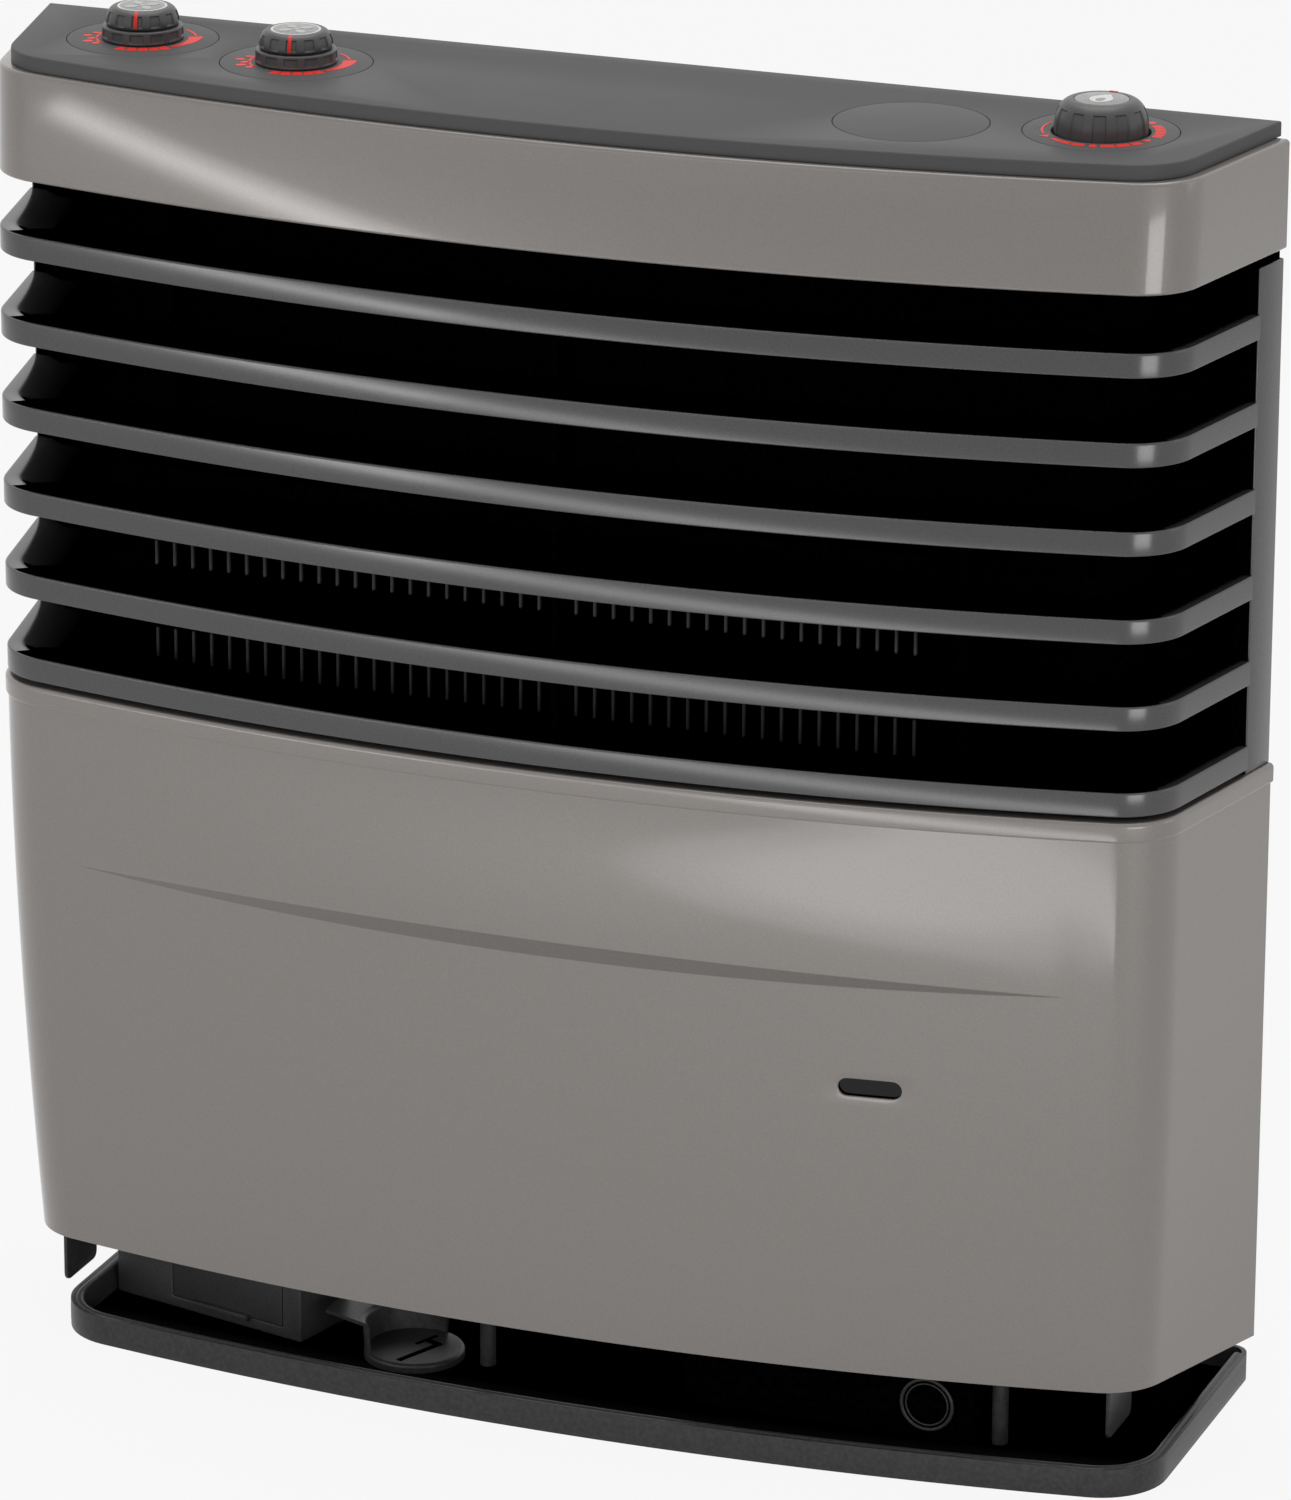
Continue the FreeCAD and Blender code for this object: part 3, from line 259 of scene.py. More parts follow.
def rounded(corners, steps=4):
    """Points of a closed outline whose corners are (x, y, radius)."""
    points = []
    for index, (x, y, radius) in enumerate(corners):
        here = Vector((x, y))
        if not radius:
            points.append(here)
            continue
        before = (Vector(corners[index - 1][:2]) - here).normalized()
        after = (Vector(corners[(index + 1) % len(corners)][:2]) - here).normalized()
        half = before.angle(after) / 2
        centre = here + (before + after).normalized() * radius / math.sin(half)
        first = here + before * radius / math.tan(half) - centre
        last = here + after * radius / math.tan(half) - centre
        for step in range(steps + 1):
            points.append(centre + first.lerp(last, step / steps).normalized() * radius)
    return points


def net(bm, columns, rows, place):
    """A net of faces whose corners go where place says, from shares across and up."""
    made = bmesh.ops.create_grid(bm, x_segments=columns, y_segments=rows, size=0.5)
    for vert in made["verts"]:
        vert.co = place(vert.co.x + 0.5, vert.co.y + 0.5)
    return made["verts"]


def close_up(bm):
    """Merge the seams, fill the open ends and turn the faces outwards."""
    bmesh.ops.remove_doubles(bm, verts=bm.verts, dist=MERGE)
    bmesh.ops.holes_fill(bm, edges=bm.edges, sides=0)
    bmesh.ops.recalc_face_normals(bm, faces=bm.faces)


def carried(section, columns, place, weight=None):
    """A closed section of (inset, height) points carried along an outline.

    The mesh attribute inset keeps how far behind the front a point lies, times its weight.
    """
    bm = bmesh.new()
    count = len(section)
    layer = bm.verts.layers.float.new("inset")
    for vert in bmesh.ops.create_grid(bm, x_segments=columns, y_segments=count, size=0.5)["verts"]:
        across = vert.co.x + 0.5
        point = section[round((vert.co.y + 0.5) * count) % count]
        vert.co = place(across, point.x, point.y)
        vert[layer] = point.x * (weight(across) if weight else 1)
    return bm


def swept(section):
    """A closed section of (inset, height) points carried round the casing."""
    bm = carried(section, CASING_COLUMNS, casing_point)
    close_up(bm)
    return bm


# Share of a spun shape's radius outside which its wall is dented
OUTER_WALL = 0.7


def turned(section, centre, columns, dent=None):
    """A section of (radius, height) points spun about a vertical axis.

    Dent says how deep a recess is at one turn and height, and applies to the outer wall alone.
    """
    bm = bmesh.new()
    chain = [bm.verts.new((centre.x, centre.y - point.x, point.y)) for point in section]
    edges = [bm.edges.new(pair) for pair in zip(chain, chain[1:])]
    bmesh.ops.spin(
        bm, geom=chain + edges, cent=centre, axis=UP, angle=2 * math.pi, steps=columns,
        use_merge=True,
    )
    close_up(bm)
    if dent:
        wall = OUTER_WALL * max(point.x for point in section)
        for vert in bm.verts:
            away = vert.co.xy - centre.xy
            if away.length > wall:
                turn = math.atan2(away.x, -away.y) / (2 * math.pi)
                vert.co.xy -= away.normalized() * dent(turn, vert.co.z)
    return bm


def round_edges(bm, radius, chosen=None, segments=3):
    """Round the sharp edges that chosen accepts, or all of them."""
    edges = [
        edge for edge in bm.edges
        if len(edge.link_faces) == 2 and edge.calc_face_angle() > SHARP
        and (chosen is None or chosen(edge))
    ]
    bmesh.ops.bevel(
        bm, geom=edges, offset=radius, offset_type="OFFSET", affect="EDGES", segments=segments,
        profile=0.5, material=-1, clamp_overlap=True,
    )


def node_copy(node):
    """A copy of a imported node's mesh, with its triangles joined."""
    bm = bmesh.new()
    bm.from_mesh(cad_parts[node].data)
    bmesh.ops.remove_doubles(bm, verts=bm.verts, dist=MERGE)
    bmesh.ops.dissolve_limit(bm, angle_limit=math.radians(0.5), verts=bm.verts, edges=bm.edges)
    return bm


def softened(node, radius):
    """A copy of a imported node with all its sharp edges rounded."""
    bm = node_copy(node)
    round_edges(bm, radius)
    return bm


def middle_of(node):
    low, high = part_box(node)
    return (low + high) / 2


def piece(name, bm, body, material, slot, *replaced):
    """Make an object of a bmesh, and let it ride on a body."""
    mesh = bpy.data.meshes.new(name)
    bm.to_mesh(mesh)
    bm.free()
    for stale in [layer.name for layer in mesh.attributes if layer.name == "custom_normal"]:
        mesh.attributes.remove(mesh.attributes[stale])
    mesh.polygons.foreach_set("use_smooth", [True] * len(mesh.polygons))
    mesh.set_sharp_from_angle(angle=SHARP)
    mesh.materials.clear()
    mesh.materials.append(material)
    obj = bpy.data.objects.new(name, mesh)
    bpy.context.scene.collection.objects.link(obj)
    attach(obj, body)
    if replaced:
        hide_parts(*replaced)
    return obj


def second_finish(obj, material, chosen):
    """Give the faces that chosen accepts another finish."""
    obj.data.materials.append(material)
    for face in obj.data.polygons:
        if chosen(face):
            face.material_index = 1


def looks_back(face):
    """Whether a face looks to the rear."""
    return face.normal.y > 0.5


def finish_nodes(material, *nodes):
    """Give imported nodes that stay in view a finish."""
    for node in nodes:
        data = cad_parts[node].data
        data.materials.clear()
        data.materials.append(material)


# Finishes
def add(tree, kind, inputs=(), **settings):
    """Add a node with its settings; an input is a value or another node's output."""
    node = tree.nodes.new(kind)
    for name, value in settings.items():
        setattr(node, name, value)
    for name, value in dict(inputs).items():
        if isinstance(value, bpy.types.NodeSocket):
            tree.links.new(value, node.inputs[name])
        else:
            node.inputs[name].default_value = value
    return node


def grit_scale(size_mm):
    """The noise scale that gives grains of one size."""
    return 1 / (size_mm * MM)


# Noise values between which grains go from one colour to the other, and their relief
GRAIN_LOW = 0.35
GRAIN_HIGH = 0.65
RELIEF = 0.35
# Size of the clouds in the gloss, and how far it wavers
CLOUD_MM = 60
GLOSS_WAVER = 0.1


def surface(name, base, other, grit_mm, contrast, shine, bump_mm, **shader):
    """A finish with fine grains between two colours, uneven gloss and a shallow relief."""
    found = bpy.data.materials.get(name)
    if found:
        return found
    material = bpy.data.materials.new(name)
    material.use_nodes = True
    tree = material.node_tree
    tree.nodes.clear()
    place = add(tree, "ShaderNodeTexCoord").outputs["Object"]
    grains = add(tree, "ShaderNodeTexNoise", {
        "Vector": place, "Scale": grit_scale(grit_mm), "Detail": 3.0,
    })
    spread = add(tree, "ShaderNodeMapRange", {
        "Value": grains.outputs["Fac"], "From Min": GRAIN_LOW, "From Max": GRAIN_HIGH,
        "To Max": contrast,
    })
    tint = add(tree, "ShaderNodeMix", {
        "Factor": spread.outputs["Result"], "A": (*base, 1), "B": (*other, 1),
    }, data_type="RGBA")
    clouds = add(tree, "ShaderNodeTexNoise", {
        "Vector": place, "Scale": grit_scale(CLOUD_MM), "Detail": 2.0,
    })
    gloss = add(tree, "ShaderNodeMapRange", {
        "Value": clouds.outputs["Fac"], "To Min": shine * (1 - GLOSS_WAVER),
        "To Max": shine * (1 + GLOSS_WAVER),
    })
    relief = add(tree, "ShaderNodeBump", {
        "Height": grains.outputs["Fac"], "Strength": RELIEF, "Distance": bump_mm * MM,
    })
    body = add(tree, "ShaderNodeBsdfPrincipled", {
        "Base Color": tint.outputs["Result"], "Roughness": gloss.outputs["Result"],
        "Normal": relief.outputs["Normal"], **shader,
    })
    add(tree, "ShaderNodeOutputMaterial", {"Surface": body.outputs["BSDF"]})
    return material


def metallic_lacquer():
    """Sprayed metallic lacquer: fine bright flakes under a smooth clear coat."""
    return surface(
        "heater_metallic_lacquer", palette().lacquer, palette().flake, 0.9, 0.35, 0.42, 0.004,
        **{"Metallic": 0.2, "Specular IOR Level": 0.3, "Coat Weight": 0.9, "Coat Roughness": 0.1},
    )


def crease_shade_lacquer():
    """Darker, less glossy lacquer in the crease: painted shade, as the crease faces the floor."""
    return surface(
        "heater_creased_lacquer", palette().crease, palette().lacquer, 0.9, 0.35, 0.42, 0.004,
        **{"Metallic": 0.2, "Specular IOR Level": 0.3, "Coat Weight": 0.4, "Coat Roughness": 0.1},
    )


def moulded_cover():
    """Moulded ABS with a fine spark-eroded grain, which spreads the light evenly."""
    return surface(
        "heater_moulded_cover", palette().cover, palette().knob, 0.8, 0.25, 0.55, 0.03,
        **{"Specular IOR Level": 0.2},
    )


def moulded_knob():
    """Moulded polyamide, satin and slightly uneven."""
    return surface("heater_moulded_knob", palette().knob, palette().base, 0.8, 0.35, 0.4, 0.02)


def printed_ink():
    """Pad-printed red ink, flat and even."""
    return surface("heater_printed_ink", palette().ink, palette().ink, 0.5, 0.0, 0.5, 0.01)


def inlaid_disc():
    """Clear-coated inlay disc of the knobs, smooth."""
    return surface("heater_inlaid_disc", palette().icon, palette().cover, 2.0, 0.4, 0.22, 0.005)


def pale_print():
    """Pale print on the inlay discs."""
    return surface("heater_pale_print", palette().pale, palette().pale, 0.5, 0.0, 0.35, 0.01)


def faint_print():
    """Grey print on the fan discs, a little lighter than they are."""
    return surface("heater_faint_print", palette().faint, palette().faint, 0.5, 0.0, 0.3, 0.01)


def base_paint():
    """Black powder coat on steel, with a slight orange peel."""
    return surface(
        "heater_base_paint", palette().base, palette().black_and_shade, 2.5, 0.35, 0.38, 0.03,
        **{"Specular IOR Level": 0.25},
    )


def tray_floor_shaded(bow_centre, bow):
    """The same powder coat on the tray's floor, lit along its front, black with painted shade
    behind.
    """
    found = bpy.data.materials.get("heater_tray_floor")
    if found:
        return found
    material = surface(
        "heater_tray_floor", palette().base, palette().black_and_shade, 2.5, 0.3, 0.5, 0.03,
        **{"Specular IOR Level": 0.0},
    )
    tree = material.node_tree
    place = add(tree, "ShaderNodeTexCoord").outputs["Object"]
    flat = add(tree, "ShaderNodeVectorMath", {0: place, 1: (1, 1, 0)}, operation="MULTIPLY")
    reach = add(tree, "ShaderNodeVectorMath", {0: flat.outputs["Vector"], 1: bow_centre},
                operation="DISTANCE")
    inset = add(tree, "ShaderNodeMath", {0: bow, 1: reach.outputs["Value"]}, operation="SUBTRACT")
    add_painted_shade(material, inset.outputs["Value"], FLOOR_LIT, FLOOR_SHADE_BLACK)
    return material


def moulded_box():
    """Moulded flame-retardant plastic, matt black."""
    return surface("heater_moulded_box", palette().base, palette().black_and_shade, 1.0, 0.45, 0.5, 0.03)


def black_works_and_shade():
    """Steel and cast iron under matt heat-proof black that swallows the light, partly painted
    shade.
    """
    return surface(
        "heater_dark_works", palette().black_and_shade, palette().base, 3.0, 0.03, 0.7, 0.06,
        **{"Specular IOR Level": 0.0},
    )


def plain_steel():
    """Drawn steel wire and rod, zinc plated."""
    return surface(
        "heater_plain_steel", palette().steel, palette().cover, 1.0, 0.3, 0.34, 0.01,
        **{"Metallic": 1.0},
    )


def add_painted_shade(material, value, clear, dark):
    """Paint shade on a finish: let it go over to black as a value goes from clear to dark."""
    tree = material.node_tree
    body = next(node for node in tree.nodes if node.type == "BSDF_PRINCIPLED")
    share = add(tree, "ShaderNodeMapRange", {"Value": value, "From Min": clear, "From Max": dark})
    tint = add(tree, "ShaderNodeMix", {
        "Factor": share.outputs["Result"], "A": body.inputs["Base Color"].links[0].from_socket,
        "B": (*palette().black_and_shade, 1),
    }, data_type="RGBA")
    tree.links.new(tint.outputs["Result"], body.inputs["Base Color"])


def fin_metal():
    """Rolled aluminium fins, painted light on their front edges behind the gaps, painted shade
    elsewhere.
    """
    found = bpy.data.materials.get("heater_fin_metal")
    if found:
        return found
    material = surface(
        "heater_fin_metal", palette().fin, palette().knob, 4.0, 0.5, 0.5, 0.02,
        **{"Specular IOR Level": 0.0},
    )
    tree = material.node_tree
    place = add(tree, "ShaderNodeTexCoord").outputs["Object"]
    axes = add(tree, "ShaderNodeSeparateXYZ", {"Vector": place})
    height = add(tree, "ShaderNodeMath", {0: axes.outputs["Z"], 1: FIN_LIGHT_LEVEL},
                 operation="SUBTRACT")
    apart = add(tree, "ShaderNodeMath", {0: height.outputs["Value"], 1: FIN_LIGHT_PITCH / 2},
                operation="PINGPONG")
    add_painted_shade(material, apart.outputs["Value"], FIN_LIGHT_HALF, FIN_LIGHT_HALF + MM)
    top = FIN_LIGHT_LEVEL + FIN_LIGHT_PITCH + 2 * MM
    add_painted_shade(material, axes.outputs["Z"], top, top + MM)
    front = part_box("exchanger_fins")[0].y
    add_painted_shade(material, axes.outputs["Y"], front + FIN_SHADE_START, front + FIN_SHADE_BLACK)
    return material


def gas_brass():
    """Turned brass, slightly tarnished."""
    return surface(
        "heater_gas_brass", palette().brass, palette().knob, 5.0, 0.25, 0.3, 0.01,
        **{"Metallic": 1.0},
    )


def smoked_glass():
    """Dark heat-proof glass."""
    return surface(
        "heater_smoked_glass", palette().black_and_shade, palette().black_and_shade, 2.0, 0.0, 0.1, 0.001,
        **{"Specular IOR Level": 0.3},
    )


def grille_plastic():
    """Moulded louvre plastic, satin grey; the blades behind the lips go black, partly as painted
    shade.

    The mesh attribute inset says how far behind the front face a point lies.
    """
    found = bpy.data.materials.get("heater_grille_shaded")
    if found:
        return found
    material = surface(
        "heater_grille_shaded", palette().grille, palette().cover, 0.8, 0.3, 0.19, 0.004,
        **{"Specular IOR Level": 0.6},
    )
    inset = add(material.node_tree, "ShaderNodeAttribute", attribute_name="inset").outputs["Fac"]
    add_painted_shade(material, inset, SLAT_SHADE_START, SLAT_SHADE_BLACK)
    return material


# Casing pieces
class HEATER_OT_band(bpy.types.Operator):
    """Upper casing band with a rounded upper edge and folded-in rims"""

    bl_idname = "heater.band"
    bl_label = "Casing band"

    def execute(self, context):
        sizes = casing()
        low, high = (corner.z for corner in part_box("casing_band"))
        high -= sizes.band_drop
        wall = sizes.sheet_wall
        section = rounded([
            (0, low, wall),
            (0, high, sizes.band_round),
            (sizes.fold_width, high, 0),
            (sizes.fold_width, high - wall, 0),
            (wall, high - wall, sizes.band_round - wall),
            (wall, low + wall, 0),
            (sizes.fold_width, low + wall, 0),
            (sizes.fold_width, low, 0),
        ])
        piece("band_shell", swept(section), "front_casing", metallic_lacquer(), "casing_paint",
              "casing_band")
        return {"FINISHED"}


class HEATER_OT_grille(bpy.types.Operator):
    """Louvre slats, uprights and middle stay"""

    bl_idname = "heater.grille"
    bl_label = "Grille"

    SLAT_COUNT = 6
    # Rounding of a lip's upper edge against its lower one, and the lip's top and back in walls
    UPPER_ROUND = 1.4
    LIP_TOP = 3
    LIP_BACK = 5
    # How much faster painted shade comes behind the lip on the left, on the right and in front
    LEFT_WEIGHT = 1
    RIGHT_WEIGHT = 4
    FRONT_WEIGHT = 8
    UPRIGHT_ROUND = 0.7 * MM
    # Depth of an upright's grey outer face; its faces behind that are black with painted shade
    UPRIGHT_FACE = 2 * MM

    def execute(self, context):
        sizes = casing()
        for node in (f"slat_{number}" for number in range(1, self.SLAT_COUNT + 1)):
            low, high = (corner.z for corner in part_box(node))
            top = high - sizes.blade_drop
            section = rounded([
                (0, low, sizes.lip_round),
                (0, high, sizes.lip_round * self.UPPER_ROUND),
                (sizes.lip_wall * self.LIP_TOP, high - sizes.lip_round, 0),
                (sizes.lip_wall * self.LIP_BACK, top, 0),
                (SLAT_SHADE_BLACK, top, 0),
                (sizes.blade_depth, top, 0),
                (sizes.blade_depth, top - sizes.blade_wall, 0),
                (sizes.lip_wall, top - sizes.blade_wall, 0),
                (sizes.lip_wall, low, 0),
            ])
            self.make_slat(node, section, (low + high) / 2)
        for node in ("left_upright", "right_upright"):
            self.make_upright(node)
        # The centre stay takes the black works finish, partly painted shade
        finish_nodes(black_works_and_shade(), "centre_stay")
        return {"FINISHED"}

    def make_slat(self, node, section, level):
        """One slat, cut off at the uprights, black with painted shade well behind its lip."""
        depth = face_depth_at(level)
        rear = -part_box("left_upright")[0].y

        def place(across, inset, height):
            return casing_point(across, inset, height, depth=depth)

        def weight(across):
            side = self.LEFT_WEIGHT if across < 0.5 else self.RIGHT_WEIGHT
            corner = (1 - abs(2 * across - 1) - SIDE_SHARE) / CORNER_SHARE
            return side + (self.FRONT_WEIGHT - side) * smooth(corner)

        bm = carried(section, CASING_COLUMNS, place, weight)
        bmesh.ops.remove_doubles(bm, verts=bm.verts, dist=MERGE)
        bmesh.ops.bisect_plane(
            bm, geom=bm.verts[:] + bm.edges[:] + bm.faces[:], plane_co=Vector((0, -rear, 0)),
            plane_no=Vector((0, 1, 0)), clear_outer=True,
        )
        bmesh.ops.holes_fill(bm, edges=bm.edges, sides=0)
        bmesh.ops.recalc_face_normals(bm, faces=bm.faces)
        slat = piece(f"{node}_louvre", bm, "front_casing", grille_plastic(), "grille_plastic", node)
        insets = slat.data.attributes["inset"].data

        def deep(face):
            total = sum(insets[index].value for index in face.vertices)
            return total > SLAT_SHADE_BLACK * len(face.vertices)

        # Faces deep behind the lip take the black works finish as painted shade
        second_finish(slat, black_works_and_shade(), deep)

    def make_upright(self, node):
        """A thin upright strip along the casing's rear edge, open at the top."""
        sizes = casing()
        low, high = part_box(node)
        side = math.copysign(1, low.x)
        lean = sizes.side_slant
        start = Vector((HALF_WIDTH - MM, 0, 0))
        forward = Vector((-math.sin(lean), -math.cos(lean), 0))
        inward = Vector((-math.cos(lean), math.sin(lean), 0))
        bm = bmesh.new()
        for vert in bmesh.ops.create_cube(bm, size=1.0)["verts"]:
            depth = (vert.co.y + 0.5) * (high.y - low.y)
            level = low.z if vert.co.z < 0 else high.z - sizes.upright_gap
            point = start + forward * depth + inward * (vert.co.x + 0.5) * sizes.upright_width
            vert.co = Vector((point.x * side, point.y, level))
        bmesh.ops.recalc_face_normals(bm, faces=bm.faces)
        round_edges(bm, self.UPRIGHT_ROUND)
        strip = piece(f"{node}_strip", bm, "front_casing", grille_plastic(), "grille_plastic", node)

        def inner(face):
            point = Vector((face.center.x * side, face.center.y, 0))
            return (point - start).dot(inward) > self.UPRIGHT_FACE

        # Faces behind the outer face take the black works finish as painted shade
        second_finish(strip, black_works_and_shade(), inner)


class HEATER_OT_lower_panel(bpy.types.Operator):
    """Lower panel with its crescent crease and observation slot, its trim, glass and hook tabs"""

    bl_idname = "heater.lower_panel"
    bl_label = "Lower panel"

    # Rows of faces below the crease, across it and above it
    ROWS = (44, 6, 18)
    # Shares of the crease's height at which its rows lie, close together at its pressed edges
    CREASE_SHARES = (0.06, 0.16, 0.5, 0.84, 0.94, 1.0)
    PRESSED_EDGE = 0.6 * MM
    # Slot's patch of the net, from the slot's middle
    PATCH = (26 * MM, 12 * MM)
    # Slot's lip, and how far outside the slot and behind the face its edges lie, in lips
    LIP = 0.8 * MM
    LIP_EDGES = ((1, 0), (0.3, 0.3), (0, 1))
    # Hook tabs: how far up their ends are rounded, and how much
    TAB_END = 20 * MM
    TAB_ROUND = 4 * MM
    TAB_EDGE = 0.5 * MM
    # Roundings of the trim: lower front, upper front and upper rear edge
    TRIM_ROUNDS = (1.2 * MM, 2.4 * MM, 0.8 * MM)

    def execute(self, context):
        bm = bmesh.new()
        low, high = (corner.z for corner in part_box("lower_panel"))

        def place(across, up):
            return self.face_point(across, up, low, high)

        net(bm, CASING_COLUMNS, sum(self.ROWS), place)
        self.open_slot(bm)
        bmesh.ops.recalc_face_normals(bm, faces=bm.faces)
        bmesh.ops.solidify(bm, geom=bm.faces[:], thickness=casing().sheet_wall)
        bmesh.ops.recalc_face_normals(bm, faces=bm.faces)
        shell = piece("panel_shell", bm, "front_casing", metallic_lacquer(), "casing_paint",
                      "lower_panel")
        # The crease takes the darker lacquer as painted shade
        second_finish(shell, crease_shade_lacquer(), self.in_crease)
        self.make_trim()
        finish_nodes(smoked_glass(), "window_glass")
        for node in ("left_tab", "right_tab"):
            bm = node_copy(node)
            round_edges(bm, self.TAB_ROUND, self.across_tab)
            round_edges(bm, self.TAB_EDGE)
            piece(f"{node}_hook", bm, "front_casing", base_paint(), "base_paint", node)
        return {"FINISHED"}

    def across_tab(self, edge):
        """Whether an edge of a hook tab crosses its thickness near its lower end."""
        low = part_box("left_tab")[0].z + self.TAB_END
        first, last = (vert.co for vert in edge.verts)
        return abs(first.x - last.x) > MM and max(first.z, last.z) < low

    def crease(self, x):
        """Height and step of the crease at one place across, largest in the middle."""
        sizes = casing()
        share = max(1 - (x / sizes.crease_half) ** 2, 0.0)
        return max(sizes.crease_height * share, 0.3 * MM), sizes.crease_step * share

    def in_crease(self, face):
        """Whether a face of the panel lies in the crease."""
        sizes = casing()
        height, _ = self.crease(face.center.x)
        within = abs(face.center.z - sizes.crease_level) < height / 2
        return within and abs(face.center.x) < sizes.crease_half

    def face_point(self, across, up, low, high):
        """A point of the panel's outer face, with rows that follow the crease."""
        sizes = casing()
        below, within, above = self.ROWS
        row = round(up * sum(self.ROWS))
        rough_x = casing_point(across, 0, sizes.crease_level).x
        height, step = self.crease(rough_x)
        foot = sizes.crease_level - height / 2
        top = sizes.crease_level + height / 2
        if row < below:
            level = low + (foot - self.PRESSED_EDGE - low) * row / (below - 1)
            proud = 0
        elif row == below:
            level = foot
            proud = 0
        elif row <= below + within:
            share = self.CREASE_SHARES[row - below - 1]
            level = foot + height * share
            proud = step * share
        else:
            start = top + self.PRESSED_EDGE
            level = start + (high - start) * (row - below - within - 1) / (above - 1)
            proud = step * (1 - smooth((level - top) / (high - top)))
        share = (high - level) / (high - low)
        point = casing_point(across, 0, level, sizes.side_slant + sizes.toe_in * share * share)
        return point - Vector((0, proud, 0))

    def slot_point(self, point, radius, sink):
        """The nearest point of the slot's outline, with that radius at its ends."""
        sizes = casing()
        reach = (sizes.window_length - sizes.window_height) / 2
        x = point.x - sizes.window_x
        middle = min(max(x, -reach), reach)
        away = Vector((x - middle, point.z - sizes.window_level)).normalized() * radius
        x = sizes.window_x + middle + away.x
        level = sizes.window_level + away.y
        return Vector((x, front_at(x, level) + sink, level))

    def open_slot(self, bm):
        """Cut a patch out of the net and close it again up to the slot's rounded lip."""
        sizes = casing()

        def near(vert):
            across = abs(vert.co.x - sizes.window_x)
            return across < self.PATCH[0] and abs(vert.co.z - sizes.window_level) < self.PATCH[1]

        patch = [face for face in bm.faces if all(near(vert) for vert in face.verts)]
        bmesh.ops.delete(bm, geom=patch, context="FACES")
        open_edges = [edge for edge in bm.edges if edge.is_boundary]
        rim = [edge for edge in open_edges if all(near(vert) for vert in edge.verts)]
        radius = sizes.window_height / 2
        for grow, sink in self.LIP_EDGES:
            made = bmesh.ops.extrude_edge_only(bm, edges=rim)["geom"]
            for vert in made:
                if isinstance(vert, bmesh.types.BMVert):
                    vert.co = self.slot_point(vert.co, radius + self.LIP * grow, self.LIP * sink)
            edges = [edge for edge in made if isinstance(edge, bmesh.types.BMEdge)]
            rim = [edge for edge in edges if edge.is_boundary]

    def make_trim(self):
        sizes = casing()
        low, high = (corner.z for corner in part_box("panel_trim"))
        proud = -sizes.trim_proud
        lower_front, upper_front, upper_rear = self.TRIM_ROUNDS
        section = rounded([
            (proud, low, lower_front),
            (proud, high, upper_front),
            (sizes.trim_width, high, upper_rear),
            (sizes.trim_width, low, 0),
        ], steps=6)
        piece("trim_bead", swept(section), "front_casing", metallic_lacquer(), "casing_paint",
              "panel_trim")


# Cover and controls
def plate_centres():
    """Middles of the four round plates, on the cover's upper face."""
    plates = ("fan_dial_left", "fan_dial_right", "blank_dial", "gas_dial")
    return {node: Vector((*middle_of(node).xy, COVER_TOP)) for node in plates}


# Degrees of a printed arc that one face spans
ARC_STEP = 3


def ink_arc(bm, centre, inner, outer, first, last, end_outer):
    """A printed arc; turns are degrees from the front towards the right, radii millimetres."""
    steps = max(int(abs(last - first) / ARC_STEP), 1)

    def place(across, up):
        radius = (inner + ((outer + (end_outer - outer) * across) - inner) * up) * MM
        turn = math.radians(first + (last - first) * across)
        return Vector((*(centre.xy + compass(turn) * radius), centre.z))

    verts = net(bm, steps, 1, place)
    raise_print(bm, verts)


def ink_dot(bm, centre, radius, turn, size, stretch=1.0, segments=20):
    """A printed dot, or an oval stretched along its radius."""
    made = bmesh.ops.create_circle(bm, cap_ends=True, segments=segments, radius=size * MM)["verts"]
    direction = compass(math.radians(turn))
    sideways = Vector((-direction.y, direction.x))
    for vert in made:
        flat = centre.xy + direction * (radius * MM + vert.co.x * stretch) + sideways * vert.co.y
        vert.co = Vector((*flat, centre.z))
    raise_print(bm, made)


def raise_print(bm, verts):
    """Give a flat print its thickness of ink."""
    faces = list({face for vert in verts for face in vert.link_faces})
    made = bmesh.ops.extrude_face_region(bm, geom=faces, use_keep_orig=True)["geom"]
    lifted = [vert for vert in made if isinstance(vert, bmesh.types.BMVert)]
    bmesh.ops.translate(bm, verts=lifted, vec=UP * controls().ink)
    bmesh.ops.recalc_face_normals(bm, faces=bm.faces)


